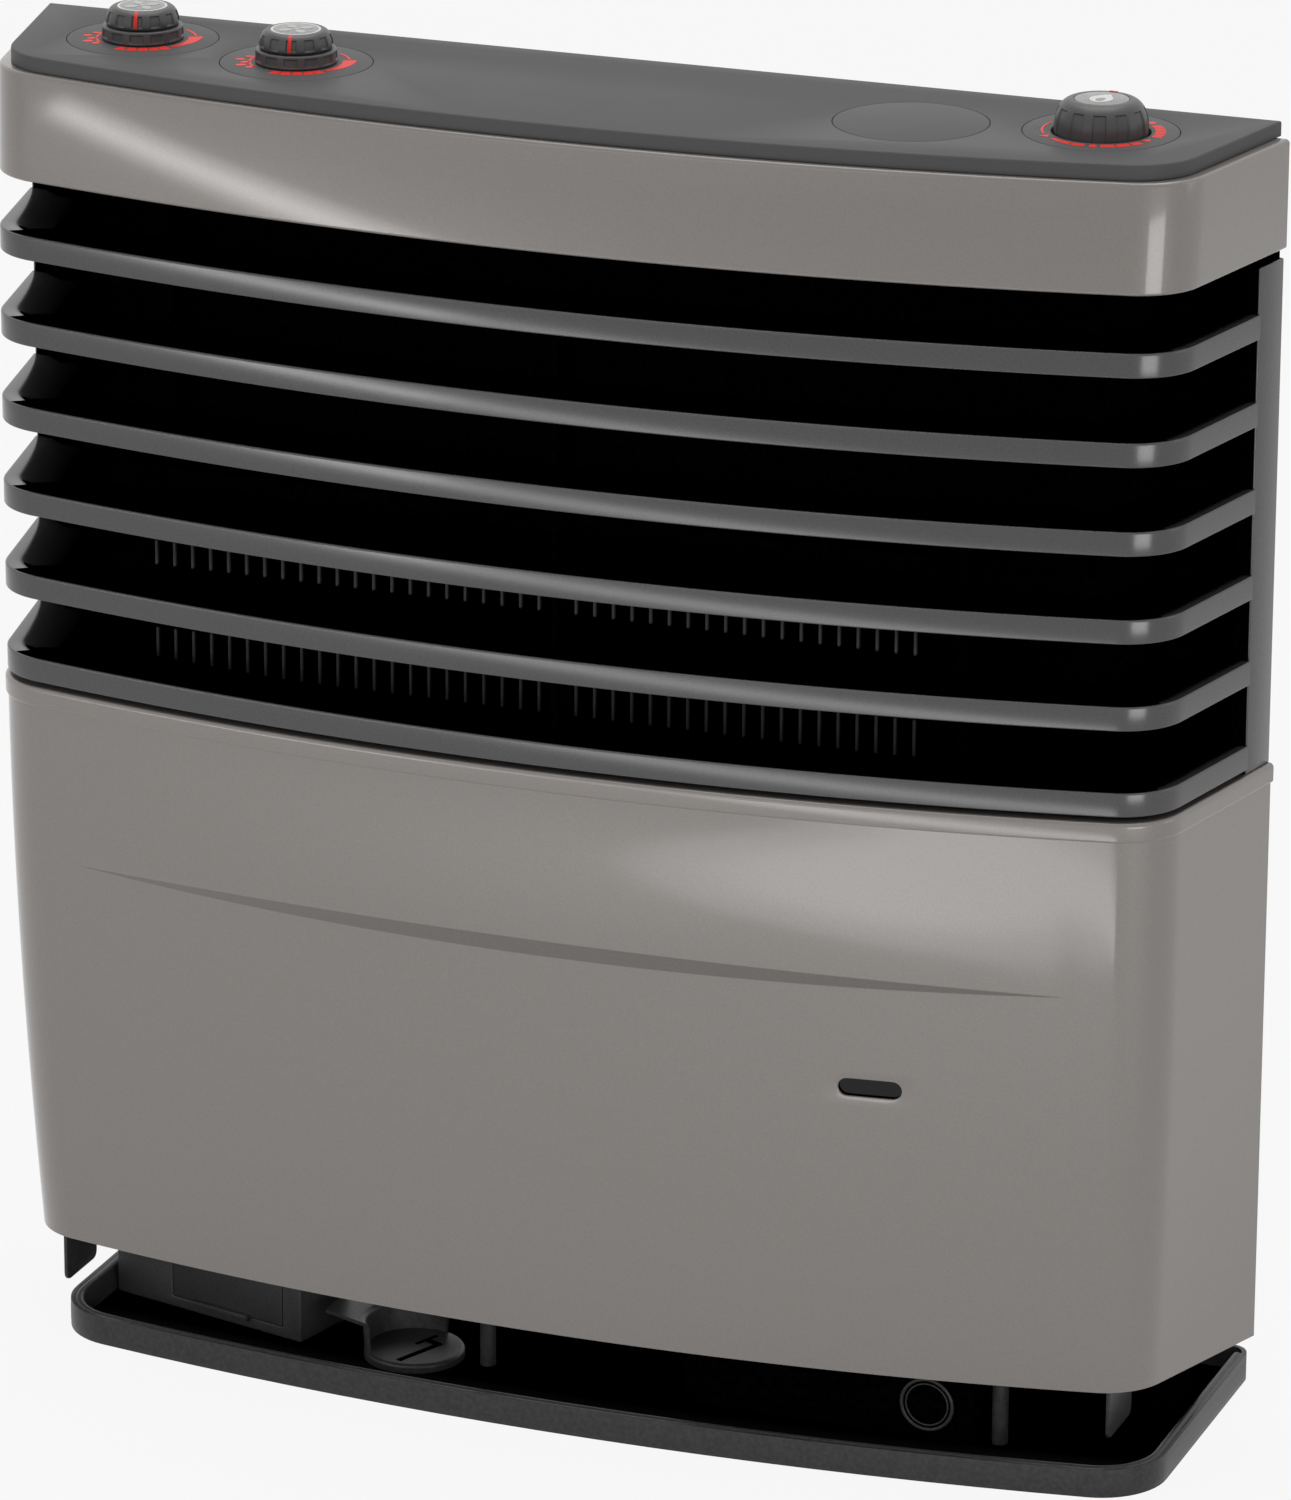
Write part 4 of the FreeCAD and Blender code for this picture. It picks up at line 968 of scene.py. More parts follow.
class HEATER_OT_cover(bpy.types.Operator):
    """Top cover with its round plates and their printed scales"""

    bl_idname = "heater.cover"
    bl_label = "Top cover"

    # Arcs are (inner radius, outer radius, first turn, last turn, outer radius at the last turn)
    # and dots (radius, turn, size, stretch, corners), in millimetres and degrees
    FAN_ARCS = (
        *((21.0, 27.0, turn - 5.5, turn + 5.5, 27.0) for turn in (-2, 11, 24, 37, 49)),
        (22.4, 24.6, 60, 116, 29.4), (25.4, 26.6, 119, 150, 26.6), (21.8, 23.0, -104, -38, 23.0),
    )
    FAN_DOTS = (
        (24.5, -42, 1.9, 1.3, 20), (27.2, -54, 2.0, 1.3, 20), (24.6, -66, 1.8, 1.3, 20),
        (27.4, -78, 1.8, 1.3, 20), (25.0, -92, 1.6, 1.3, 20),
    )
    GAS_ARCS = (
        (26.4, 28.6, -37, -13, 30.4), (26.4, 30.6, -11, 2, 31.0), (26.4, 31.2, 17, 30, 31.2),
        (26.2, 31.0, 32, 45, 31.0), (26.0, 30.6, 47.5, 58, 30.6), (27.2, 28.2, -106, -58, 28.2),
        *((25.4, 30.2, turn, turn + 4.8, 30.2) for turn in range(84, 130, 6)),
    )
    GAS_DOTS = (
        (29.0, 10, 2.0, 1.3, 20), (28.4, -49, 2.6, 1.3, 3), (27.0, 69, 2.0, 1.0, 20),
        (28.4, 142, 2.3, 1.0, 20),
    )
    SEAT_MARGIN = 2 * MM
    # Where the cover's outer edge begins, to the sides and in front
    OUTER_SIDE = 250 * MM
    OUTER_FRONT = 100 * MM

    def execute(self, context):
        sizes = controls()
        centres = plate_centres()
        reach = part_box("blank_dial")[1].x - middle_of("blank_dial").x + self.SEAT_MARGIN

        def at_seat(edge):
            point = (edge.verts[0].co + edge.verts[1].co) / 2
            return any((point.xy - centre.xy).length < reach for centre in centres.values())

        bm = node_copy("top_cover")
        self.deepen_edge(bm)
        round_edges(bm, sizes.seam_round, at_seat, 2)
        round_edges(bm, sizes.cover_round, lambda edge: not at_seat(edge) and self.upper(edge))
        piece("cover_shell", bm, "heater", moulded_cover(), "cover_plastic", "top_cover")
        for node in centres:
            piece(f"{node}_plate", softened(node, sizes.seam_round), "heater", moulded_cover(),
                  "cover_plastic", node)
        for side in FAN_SIDES:
            self.print_scale(f"fan_scale_{side}", centres[f"fan_dial_{side}"], self.FAN_ARCS,
                             self.FAN_DOTS)
        self.print_scale("gas_scale", centres["gas_dial"], self.GAS_ARCS, self.GAS_DOTS)
        return {"FINISHED"}

    def deepen_edge(self, bm):
        """Let the cover's outer edge reach further down than its underside."""
        for vert in bm.verts:
            outer = abs(vert.co.x) > self.OUTER_SIDE or vert.co.y < -self.OUTER_FRONT
            others = [edge.other_vert(vert) for edge in vert.link_edges]
            top = any(other.co.z > COVER_TOP - 0.1 * MM for other in others)
            if outer and top and vert.co.z < COVER_TOP - MM:
                vert.co.z -= casing().cover_edge

    def upper(self, edge):
        return all(vert.co.z > COVER_TOP - MM for vert in edge.verts)

    def print_scale(self, name, centre, arcs, dots):
        bm = bmesh.new()
        for inner, outer, first, last, end_outer in arcs:
            ink_arc(bm, centre, inner, outer, first, last, end_outer)
        for radius, turn, size, stretch, corners in dots:
            ink_dot(bm, centre, radius, turn, size, stretch, corners)
        piece(name, bm, "heater", printed_ink(), "knob_plastic")


# Share of a grip's span over which its sides slope
GRIP_EDGE = 0.035


def grip_dent(grips, width, low, high, soft):
    """Recesses round a knob: how deep the skin dents at one turn and height."""
    depth = controls().grip_depth

    def dent(across, level):
        cell = abs((across * grips) % 1.0 - 0.5)
        sides = smooth((width / 2 - cell) / GRIP_EDGE + 0.5)
        ends = smooth((level - low) / soft) * smooth((high - level) / soft)
        return depth * sides * ends

    return dent


def finely(section, step):
    """The same outline with no stretch longer than step."""
    points = [section[0]]
    for point in section[1:]:
        start = points[-1]
        parts = max(math.ceil((point - start).length / step), 1)
        points += [start.lerp(point, part / parts) for part in range(1, parts + 1)]
    return points


def dome_of(top, radius, foot, rise):
    """A quarter oval that goes from one radius at its foot to a smaller one at its top."""
    turns = (math.pi / 2 * step / DOME_STEPS for step in range(DOME_STEPS + 1))
    return [
        Vector((top + (radius - top) * math.cos(turn), foot + rise * math.sin(turn)))
        for turn in turns
    ]


def disc_of(low, high, centre):
    """A flat disc with a softened upper edge, between two corners of its box."""
    radius = high.x - centre.x
    section = rounded([
        (0, low.z, 0), (radius, low.z, 0), (radius, high.z, 0.2 * MM), (0, high.z, 0),
    ])
    return turned(section, centre, DISC_COLUMNS)


class HEATER_OT_fan_controls(bpy.types.Operator):
    """Mode rings and speed knobs of the two fan controls"""

    bl_idname = "heater.fan_controls"
    bl_label = "Fan controls"

    # Knobs as low as they look, below their packed tops
    RING_DROP = 1.8 * MM
    KNOB_DROP = 1.6 * MM
    RING_BORE = 7 * MM
    # Ring's lean at its top, and the roundings of its lower and upper edges
    RING_LEAN = 0.5 * MM
    RING_FOOT = 0.5 * MM
    RING_TOP = 0.9 * MM
    # Grips: faces no longer than this, ends away from the edges, softness, and shares of a span
    FINE = 0.4 * MM
    RING_MARGIN = 1.2 * MM
    KNOB_MARGIN = 1.0 * MM
    GRIP_SOFT = 0.5 * MM
    RING_GRIP = 0.6
    KNOB_GRIP = 0.55
    # Gap between ring and knob, the knob's foot, and shares of its height: straight side and grips
    KNOB_GAP = 0.6 * MM
    FOOT_INSET = 0.4 * MM
    SIDE_RISE = 0.12
    GRIP_RISE = 0.78
    TOP_RIM = 1.0 * MM
    POINTER_TURN = math.radians(13)
    POINTER_PROUD = 0.12 * MM
    POINTER_WALL = 0.3 * MM
    # White bead round a disc, as (away from the disc's edge, above its face) in millimetres
    BEAD = ((-0.8, 0), (0, 0.15), (1.1, -0.5), (0.4, -0.7), (-0.8, 0))
    BEAD_COLUMNS = 96
    BLADE_TURNS = (45, 135, 225, 315)

    def execute(self, context):
        for side in FAN_SIDES:
            self.make_ring(side)
            self.make_knob(side)
            self.make_icon(side)
        finish_nodes(moulded_knob(), "fan_switch_left", "fan_switch_right")
        return {"FINISHED"}

    def make_ring(self, side):
        node = f"fan_ring_{side}"
        low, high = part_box(node)
        centre = middle_of(node)
        radius = high.x - centre.x
        high.z -= self.RING_DROP
        section = rounded([
            (self.RING_BORE, low.z, 0),
            (radius, low.z, self.RING_FOOT),
            (radius - self.RING_LEAN, high.z, self.RING_TOP),
            (self.RING_BORE, high.z, 0),
        ])
        section = [section[0], *finely(section[1:-1], self.FINE), section[-1], section[0]]
        dent = grip_dent(
            controls().fan_grips, self.RING_GRIP, low.z + self.RING_MARGIN,
            high.z - self.RING_MARGIN, self.GRIP_SOFT,
        )
        bm = turned(section, centre, KNOB_COLUMNS, dent)
        piece(f"{node}_grip", bm, f"mode_ring_{side}", moulded_knob(), "knob_plastic", node)

    def make_knob(self, side):
        node = f"fan_knob_{side}"
        centre = middle_of(node)
        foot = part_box(f"fan_ring_{side}")[1].z - self.RING_DROP + self.KNOB_GAP
        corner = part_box(node)[1]
        radius = corner.x - centre.x
        level = corner.z - self.KNOB_DROP
        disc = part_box(f"fan_icon_{side}")[1].x - centre.x + DISC_GAP
        height = level - foot
        side_top = foot + height * self.SIDE_RISE
        dome = dome_of(disc + self.TOP_RIM, radius, side_top, level - side_top)
        section = [
            Vector((0, foot)), Vector((radius - self.FOOT_INSET, foot)), *finely(dome, self.FINE),
            Vector((disc, level)), Vector((disc, level - DISC_DROP)),
            Vector((0, level - DISC_DROP)),
        ]
        dent = grip_dent(
            controls().fan_grips, self.KNOB_GRIP, foot + self.KNOB_MARGIN,
            foot + height * self.GRIP_RISE, self.GRIP_SOFT,
        )
        bm = turned(section, centre, KNOB_COLUMNS, dent)
        piece(f"{node}_grip", bm, f"speed_knob_{side}", moulded_knob(), "knob_plastic", node)
        self.make_pointer(side, dome, centre)

    def make_pointer(self, side, dome, centre):
        """A red stripe that follows the knob's dome at its front."""
        half = controls().pointer_width / 2
        proud = self.POINTER_PROUD
        last = len(dome) - 1
        out = compass(self.POINTER_TURN)
        sideways = Vector((-out.y, out.x))

        def place(across, up):
            point = dome[round(up * last)]
            flat = centre.xy + out * (point.x + proud) + sideways * half * (2 * across - 1)
            return Vector((*flat, point.y + proud))

        bm = bmesh.new()
        net(bm, 1, last, place)
        bmesh.ops.solidify(bm, geom=bm.faces[:], thickness=self.POINTER_WALL)
        bmesh.ops.recalc_face_normals(bm, faces=bm.faces)
        piece(f"fan_pointer_{side}", bm, f"speed_knob_{side}", printed_ink(), "knob_plastic")

    def make_icon(self, side):
        node = f"fan_icon_{side}"
        low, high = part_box(node)
        centre = middle_of(node)
        radius = high.x - centre.x
        low.z -= self.KNOB_DROP
        high.z -= self.KNOB_DROP
        body = f"speed_knob_{side}"
        piece(f"{node}_disc", disc_of(low, high, centre), body, inlaid_disc(), "icon_disc", node)
        bead = [Vector((radius + away * MM, high.z + rise * MM)) for away, rise in self.BEAD]
        bead = turned(bead, centre, self.BEAD_COLUMNS)
        piece(f"fan_bead_{side}", bead, body, pale_print(), "icon_disc")
        bm = bmesh.new()
        face = Vector((centre.x, centre.y, high.z))
        for turn in self.BLADE_TURNS:
            ink_dot(bm, face, 5.6, turn, 2.3, 1.5, 24)
        ink_dot(bm, face, 0, 0, 1.6)
        piece(f"fan_picture_{side}", bm, body, faint_print(), "icon_disc")


class HEATER_OT_gas_control(bpy.types.Operator):
    """Gas knob with its flutes and flame picture, and the works under it"""

    bl_idname = "heater.gas_control"
    bl_label = "Gas control"

    # Skirt below the cover, the dome's rise, the hub under it and the flat rim round the disc
    SKIRT = 10 * MM
    DOME_RISE = 13 * MM
    HUB = 8 * MM
    TOP_RIM = 0.9 * MM
    # Flutes: faces no longer than this, share of a span, ends above cover and below top, softness
    FINE = 0.5 * MM
    GRIP = 0.56
    GRIP_FOOT = 0.8 * MM
    GRIP_TOP = 3.4 * MM
    GRIP_SOFT = 0.7 * MM
    # Flame picture and its core, as (width, height, shift back), in millimetres
    FLAME = (5.6, 7.6, 0)
    CORE = (2.2, 3.4, -2.4)
    # Red mark on the knob's top, as an arc of the scales
    POINTER = (13.8, 15.4, 168, 184, 15.4)

    def execute(self, context):
        centre = middle_of("gas_icon")
        low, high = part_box("gas_knob")
        radius = high.x - centre.x
        skirt = COVER_TOP - self.SKIRT
        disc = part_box("gas_icon")[1].x - centre.x + DISC_GAP
        dome = dome_of(disc + self.TOP_RIM, radius, high.z - self.DOME_RISE, self.DOME_RISE)
        section = [
            Vector((0, low.z)), Vector((self.HUB, low.z)), Vector((self.HUB, skirt)),
            Vector((radius, skirt)), *finely(dome, self.FINE), Vector((disc, high.z)),
            Vector((disc, high.z - DISC_DROP)), Vector((0, high.z - DISC_DROP)),
        ]
        dent = grip_dent(
            controls().gas_grips, self.GRIP, COVER_TOP + self.GRIP_FOOT, high.z - self.GRIP_TOP,
            self.GRIP_SOFT,
        )
        bm = turned(section, centre, KNOB_COLUMNS, dent)
        piece("gas_knob_grip", bm, "gas_control", moulded_knob(), "knob_plastic", "gas_knob")
        self.make_icon(centre)
        finish_nodes(plain_steel(), "return_spring")
        # The rod takes the black works finish, partly painted shade
        finish_nodes(black_works_and_shade(), "control_rod")
        finish_nodes(moulded_knob(), "push_collar", "rod_guide")
        return {"FINISHED"}

    def make_icon(self, centre):
        low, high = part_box("gas_icon")
        disc = disc_of(low, high, centre)
        piece("gas_icon_disc", disc, "gas_control", inlaid_disc(), "icon_disc", "gas_icon")
        face = Vector((centre.x, centre.y, high.z))
        flame = bmesh.new()
        self.tear(flame, face, *self.FLAME)
        piece("flame_picture", flame, "gas_control", pale_print(), "icon_disc")
        core = bmesh.new()
        self.tear(core, face + UP * controls().ink * 0.6, *self.CORE)
        piece("flame_core", core, "gas_control", inlaid_disc(), "icon_disc")
        mark = bmesh.new()
        ink_arc(mark, Vector((*centre.xy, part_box("gas_knob")[1].z)), *self.POINTER)
        piece("gas_pointer", mark, "gas_control", printed_ink(), "knob_plastic")

    def tear(self, bm, face, width, height, shift):
        """A drop whose point leans back, drawn on the disc."""
        made = bmesh.ops.create_circle(bm, cap_ends=True, segments=40, radius=1.0)["verts"]
        for vert in made:
            slim = 1 - 0.55 * max(vert.co.y, 0)
            x = (vert.co.x * width * slim + 1.6 * max(vert.co.y, 0) ** 2) * MM
            y = (vert.co.y * height + shift) * MM
            vert.co = face + Vector((x, y, 0))
        raise_print(bm, made)


# Base and works
class HEATER_OT_base(bpy.types.Operator):
    """Base tray, ignitor box with its lid, plug, legs and burner"""

    bl_idname = "heater.base"
    bl_label = "Base"

    # Tray's front bow and corners, and shares of each half of its rim: side and corner
    TRAY_BOW = 1600 * MM
    TRAY_CORNER = 35 * MM
    TRAY_EDGE = 1.0 * MM
    TRAY_SIDE = 0.3
    TRAY_TURN = 0.2
    # Rim: columns, its foot, how far outside and above the tray it lies, its width at top and foot,
    # the roundings of its outer and inner edge, and how far it stops before the tray's rear
    RIM_COLUMNS = 160
    RIM_LOW = 3.0 * MM
    RIM_OUT = 0.1 * MM
    RIM_RISE = 0.4 * MM
    RIM_WIDTH = 6.5 * MM
    RIM_FOOT = 9.0 * MM
    RIM_ROUNDS = (4.5 * MM, 2.5 * MM)
    RIM_REAR = 10 * MM
    # Ignitor box: edges of case and lid, turn of its front, and how far the lid's face lies out
    CASE_EDGE = 0.8 * MM
    LID_EDGE = 0.6 * MM
    BOX_TURN = math.radians(-14.6)
    BOX_OUT = 2.45 * MM
    # Blocks on its front, as (first, last, low, high, proud) in millimetres along and up it
    GRIP = (16, 50, -1.2, 1.6, 1.6)
    CATCHES = ((-31, -28, 24, 34, 0.8), (73, 76, 24, 34, 0.8))
    BLOCK_EDGE = 0.3 * MM
    BURNER_ROUND = 9 * MM
    BURNER_EDGE = 0.8 * MM
    # Beads of the burner cap, as (name, inside the edge, radius) in millimetres
    CAP_BEADS = (("outer", 0.9, 0.9), ("inner", 3.2, 0.45))
    CAP_COLUMNS = 64
    BEAD_STEPS = 12
    PLUG_COLUMNS = 96
    PLUG_WALL = 2.0 * MM
    PLATE_LAP = 2.5 * MM
    PLATE_ROUND = 2 * MM
    SLOT_TURN = 157
    # Hooked slots of the plug, as (first, last, width, shift) in millimetres
    SLOTS = ((-19, 11, 3.4, -7.6), (7.5, 11.5, 8, -4), (2, 17, 2.2, 1))
    PLATE_HEIGHT = 4.5 * MM
    # Turns in degrees that the shelf spans at its hollow, and how much less at its outer edge
    SHELF_COLUMNS = 48
    SHELF_RISE = 11 * MM
    SHELF_WIDTH = 23 * MM
    SHELF_START = -200
    SHELF_SPAN = 152
    SHELF_CUT = 34

    def execute(self, context):
        self.make_tray()
        case = softened("ignitor_box", self.CASE_EDGE)
        piece("ignitor_case", case, "heater", moulded_box(), "box_plastic", "ignitor_box")
        door = softened("battery_lid", self.LID_EDGE)
        piece("battery_door", door, "lid", moulded_box(), "box_plastic", "battery_lid")
        self.make_box_details()
        self.make_plug()
        self.make_burner()
        self.make_cap()
        finish_nodes(base_paint(), "support_legs")
        # Deck plate and riser take the black works finish, partly painted shade
        finish_nodes(black_works_and_shade(), "deck_plate", "burner_riser")
        finish_nodes(plain_steel(), "deck_screws", "air_intake")
        return {"FINISHED"}

    def make_tray(self):
        """Tray with a rolled rim along its front and sides, and a floor darkened inwards by painted
        shade.
        """
        tray = piece("tray_pan", softened("base_tray", self.TRAY_EDGE), "heater", base_paint(),
                     "base_paint", "base_tray")
        low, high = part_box("base_tray")
        floor = tray_floor_shaded((0, low.y + self.TRAY_BOW, 0), self.TRAY_BOW)
        second_finish(tray, floor, self.on_floor)
        outer, inner = self.RIM_ROUNDS
        section = rounded([
            (-self.RIM_OUT, self.RIM_LOW, 0),
            (-self.RIM_OUT, high.z + self.RIM_RISE, outer),
            (self.RIM_WIDTH, high.z + self.RIM_RISE, inner),
            (self.RIM_FOOT, self.RIM_LOW, 0),
        ])

        def place(across, inset, level):
            return self.tray_point(low, high, across, inset, level)

        bm = carried(section, self.RIM_COLUMNS, place)
        close_up(bm)
        piece("tray_rim", bm, "heater", base_paint(), "base_paint")

    def on_floor(self, face):
        """Whether a face of the tray is its floor."""
        return face.normal.z > 0.9 and face.center.z < self.RIM_LOW

    def tray_point(self, low, high, across, inset, level):
        """A point of the tray's outline, from its left rear corner, 0, to its right one, 1."""
        half = (high.x - low.x) / 2
        bow_centre = Vector((0, low.y + self.TRAY_BOW))
        away = half - self.TRAY_CORNER
        centre_y = bow_centre.y - math.sqrt((self.TRAY_BOW - self.TRAY_CORNER) ** 2 - away ** 2)
        front_turn = math.atan2(away, bow_centre.y - centre_y)
        share = 1 - abs(2 * across - 1)
        bent = self.TRAY_SIDE + self.TRAY_TURN
        if share < self.TRAY_SIDE:
            rear = high.y - self.RIM_REAR
            run = share / self.TRAY_SIDE
            point = Vector((half - inset, rear + (centre_y - rear) * run))
        elif share < bent:
            run = (share - self.TRAY_SIDE) / self.TRAY_TURN
            turn = math.pi / 2 + (front_turn - math.pi / 2) * run
            point = Vector((away, centre_y)) + compass(turn) * (self.TRAY_CORNER - inset)
        else:
            turn = front_turn * (1 - share) / (1 - bent)
            point = bow_centre + compass(turn) * (self.TRAY_BOW - inset)
        middle = (low.x + high.x) / 2
        return Vector((middle + math.copysign(point.x, across - 0.5), point.y, level))

    def box_frame(self):
        """Corner and directions of the ignitor box's front."""
        low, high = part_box("battery_lid")
        along = Vector((math.cos(self.BOX_TURN), math.sin(self.BOX_TURN), 0))
        out = Vector((math.sin(self.BOX_TURN), -math.cos(self.BOX_TURN), 0))
        start = Vector((low.x, high.y, low.z)) + out * self.BOX_OUT
        return start, along, out

    def make_box_details(self):
        """A grip ridge on the lid and two catch frames on the box."""
        ridge = bmesh.new()
        self.block(ridge, *self.GRIP)
        piece("door_grip", ridge, "lid", moulded_box(), "box_plastic")
        catch = bmesh.new()
        for sizes in self.CATCHES:
            self.block(catch, *sizes)
        piece("case_catches", catch, "heater", moulded_box(), "box_plastic")

    def block(self, bm, first, last, low, high, proud):
        """A small rounded block on the box's front, in millimetres along and up it."""
        start, along, out = self.box_frame()
        made = bmesh.ops.create_cube(bm, size=1.0)["verts"]
        for vert in made:
            across = (first + (last - first) * (vert.co.x + 0.5)) * MM
            up = (low + (high - low) * (vert.co.z + 0.5)) * MM
            vert.co = start + along * across + out * proud * MM * (0.5 - vert.co.y) * 2 + UP * up
        edges = list({edge for vert in made for edge in vert.link_edges})
        bmesh.ops.recalc_face_normals(bm, faces=bm.faces)
        bmesh.ops.bevel(bm, geom=edges, offset=self.BLOCK_EDGE, affect="EDGES", segments=2,
                        profile=0.5, material=-1)

    def make_plug(self):
        """A low round plate with a hooked slot, in a round hollow of a raised shelf."""
        low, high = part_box("tray_plug")
        centre = middle_of("tray_plug")
        radius = high.x - centre.x
        top = low.z + self.PLATE_HEIGHT
        rim = radius + self.PLATE_LAP
        section = rounded([
            (0, low.z, 0), (rim, low.z, 0), (rim, top, self.PLATE_ROUND), (0, top, 0),
        ], steps=6)
        plate = turned(section, centre, self.PLUG_COLUMNS)
        piece("plug_plate", plate, "heater", base_paint(), "base_paint", "tray_plug")
        slot = bmesh.new()
        for first, last, width, shift in self.SLOTS:
            self.bar(slot, Vector((*centre.xy, top)), first, last, width, shift)
        # The slots are drawn in the black works finish as painted shade
        piece("plug_slots", slot, "heater", black_works_and_shade(), "base_paint")
        shelf = high.z + self.SHELF_RISE
        edge = radius + self.SHELF_WIDTH
        section = rounded([
            (radius, low.z, 0),
            (radius + MM, shelf, 3 * MM),
            (edge, shelf, 1 * MM),
            (edge, shelf - self.PLUG_WALL, 0),
            (radius + MM + self.PLUG_WALL, shelf - self.PLUG_WALL, 1 * MM),
            (radius + self.PLUG_WALL, low.z, 0),
        ])

        def place(across, away, level):
            span = self.SHELF_SPAN - self.SHELF_CUT * (away - radius) / (edge - radius)
            turn = math.radians(self.SHELF_START + span * across)
            return Vector((*(centre.xy + compass(turn) * away), level))

        bm = carried(section, self.SHELF_COLUMNS, place)
        close_up(bm)
        piece("plug_shelf", bm, "heater", base_paint(), "base_paint")

    def bar(self, bm, face, first, last, width, shift):
        """A slot drawn on the plug in black, as painted shade for its opening."""
        direction = compass(math.radians(self.SLOT_TURN))
        sideways = Vector((-direction.y, direction.x))

        def place(across, up):
            run = (first + (last - first) * across) * MM
            flat = face.xy + direction * run + sideways * (shift + width * (up - 0.5)) * MM
            return Vector((*flat, face.z))

        raise_print(bm, net(bm, 6, 1, place))

    def make_burner(self):
        """Burner housing whose upper front edge is well rounded, and greyer there as painted light.
        """
        low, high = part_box("burner_housing")
        bm = node_copy("burner_housing")

        def upper_front(edge):
            return all(vert.co.z > high.z - MM and vert.co.y < low.y + MM for vert in edge.verts)

        round_edges(bm, self.BURNER_ROUND, upper_front, 8)
        def rounding(face):
            return face.normal.z > 0.35 and face.normal.y < -0.05

        round_edges(bm, self.BURNER_EDGE)
        # The housing takes the black works finish, partly painted shade; its upward rounding gets
        # the grey base paint as painted light
        case = piece("burner_case", bm, "heater", black_works_and_shade(), "base_paint", "burner_housing")
        second_finish(case, base_paint(), rounding)

    def make_cap(self):
        """Round cap of the burner with a bead round its edge and a finer one inside that."""
        low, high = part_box("burner_cap")
        centre = middle_of("burner_cap")
        radius = high.x - centre.x
        depth = high.y - low.y
        plate = rounded([(0, 0, 0), (radius, 0, 0), (radius, depth, 0.4 * MM), (0, depth, 0)])
        plate = turned(plate, Vector(), self.CAP_COLUMNS)
        # The cap's plate takes the black works finish, partly painted shade
        self.stand_up(plate, centre, high.y, "burner_lid", black_works_and_shade(), "burner_cap")
        turns = [2 * math.pi * step / self.BEAD_STEPS for step in range(self.BEAD_STEPS + 1)]
        for name, inside, size in self.CAP_BEADS:
            middle = Vector((radius - inside * MM, depth))
            bead = [middle + compass(turn) * size * MM for turn in turns]
            bead = turned(bead, Vector(), self.CAP_COLUMNS)
            self.stand_up(bead, centre, high.y, f"burner_bead_{name}", base_paint())

    def stand_up(self, bm, centre, rear, name, material, *replaced):
        """Turn a shape spun about the vertical to face the front, and place it on the burner."""
        quarter = Matrix.Rotation(math.pi / 2, 3, "X")
        bmesh.ops.rotate(bm, verts=bm.verts, cent=Vector(), matrix=quarter)
        bmesh.ops.translate(bm, verts=bm.verts, vec=Vector((centre.x, rear, centre.z)))
        piece(name, bm, "heater", material, "base_paint", *replaced)


class HEATER_OT_works(bpy.types.Operator):
    """Heat exchanger, gas pipes, rear frame and rear shield behind the grille"""

    bl_idname = "heater.works"
    bl_label = "Works"

    # Seal strip: how far it goes past the heat exchanger either way, its wall and its height
    SEAL_LAP = 10 * MM
    SEAL_WALL = 1.0 * MM
    SEAL_HEIGHT = 16 * MM

    def execute(self, context):
        shown_behind = (
            ("heat_exchanger", "exchanger_metal", plain_steel()),
            ("rear_frame", "fin_metal", plain_steel()),
            ("rear_shield", "base_paint", base_paint()),
        )
        # Faces that look into the casing take the black works finish as painted shade, faces that
        # look back their own finish
        for node, slot, outside in shown_behind:
            sheet = piece(f"{node}_sheet", node_copy(node), "heater", black_works_and_shade(), slot, node)
            second_finish(sheet, outside, looks_back)
        self.make_seal()
        finish_nodes(fin_metal(), "exchanger_fins")
        finish_nodes(plain_steel(), "flue_spigot", "left_clip", "right_clip")
        finish_nodes(gas_brass(), "gas_valve", "gas_inlet_pipe", "burner_feed_pipe")
        return {"FINISHED"}

    def make_seal(self):
        """A strip on the rear of the shield that closes the gap above the heat exchanger."""
        low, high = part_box("heat_exchanger")
        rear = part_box("rear_shield")[1].y
        bm = bmesh.new()
        bmesh.ops.create_cube(bm, size=1.0)
        size = Vector((high.x - low.x + 2 * self.SEAL_LAP, self.SEAL_WALL, self.SEAL_HEIGHT))
        place = Vector(((low.x + high.x) / 2, rear, high.z)) + Vector((0, size.y, size.z)) / 2
        for vert in bm.verts:
            vert.co = vert.co * size + place
        # Its front takes the black works finish, partly painted shade
        seal = piece("shield_seal", bm, "heater", black_works_and_shade(), "base_paint")
        second_finish(seal, base_paint(), looks_back)


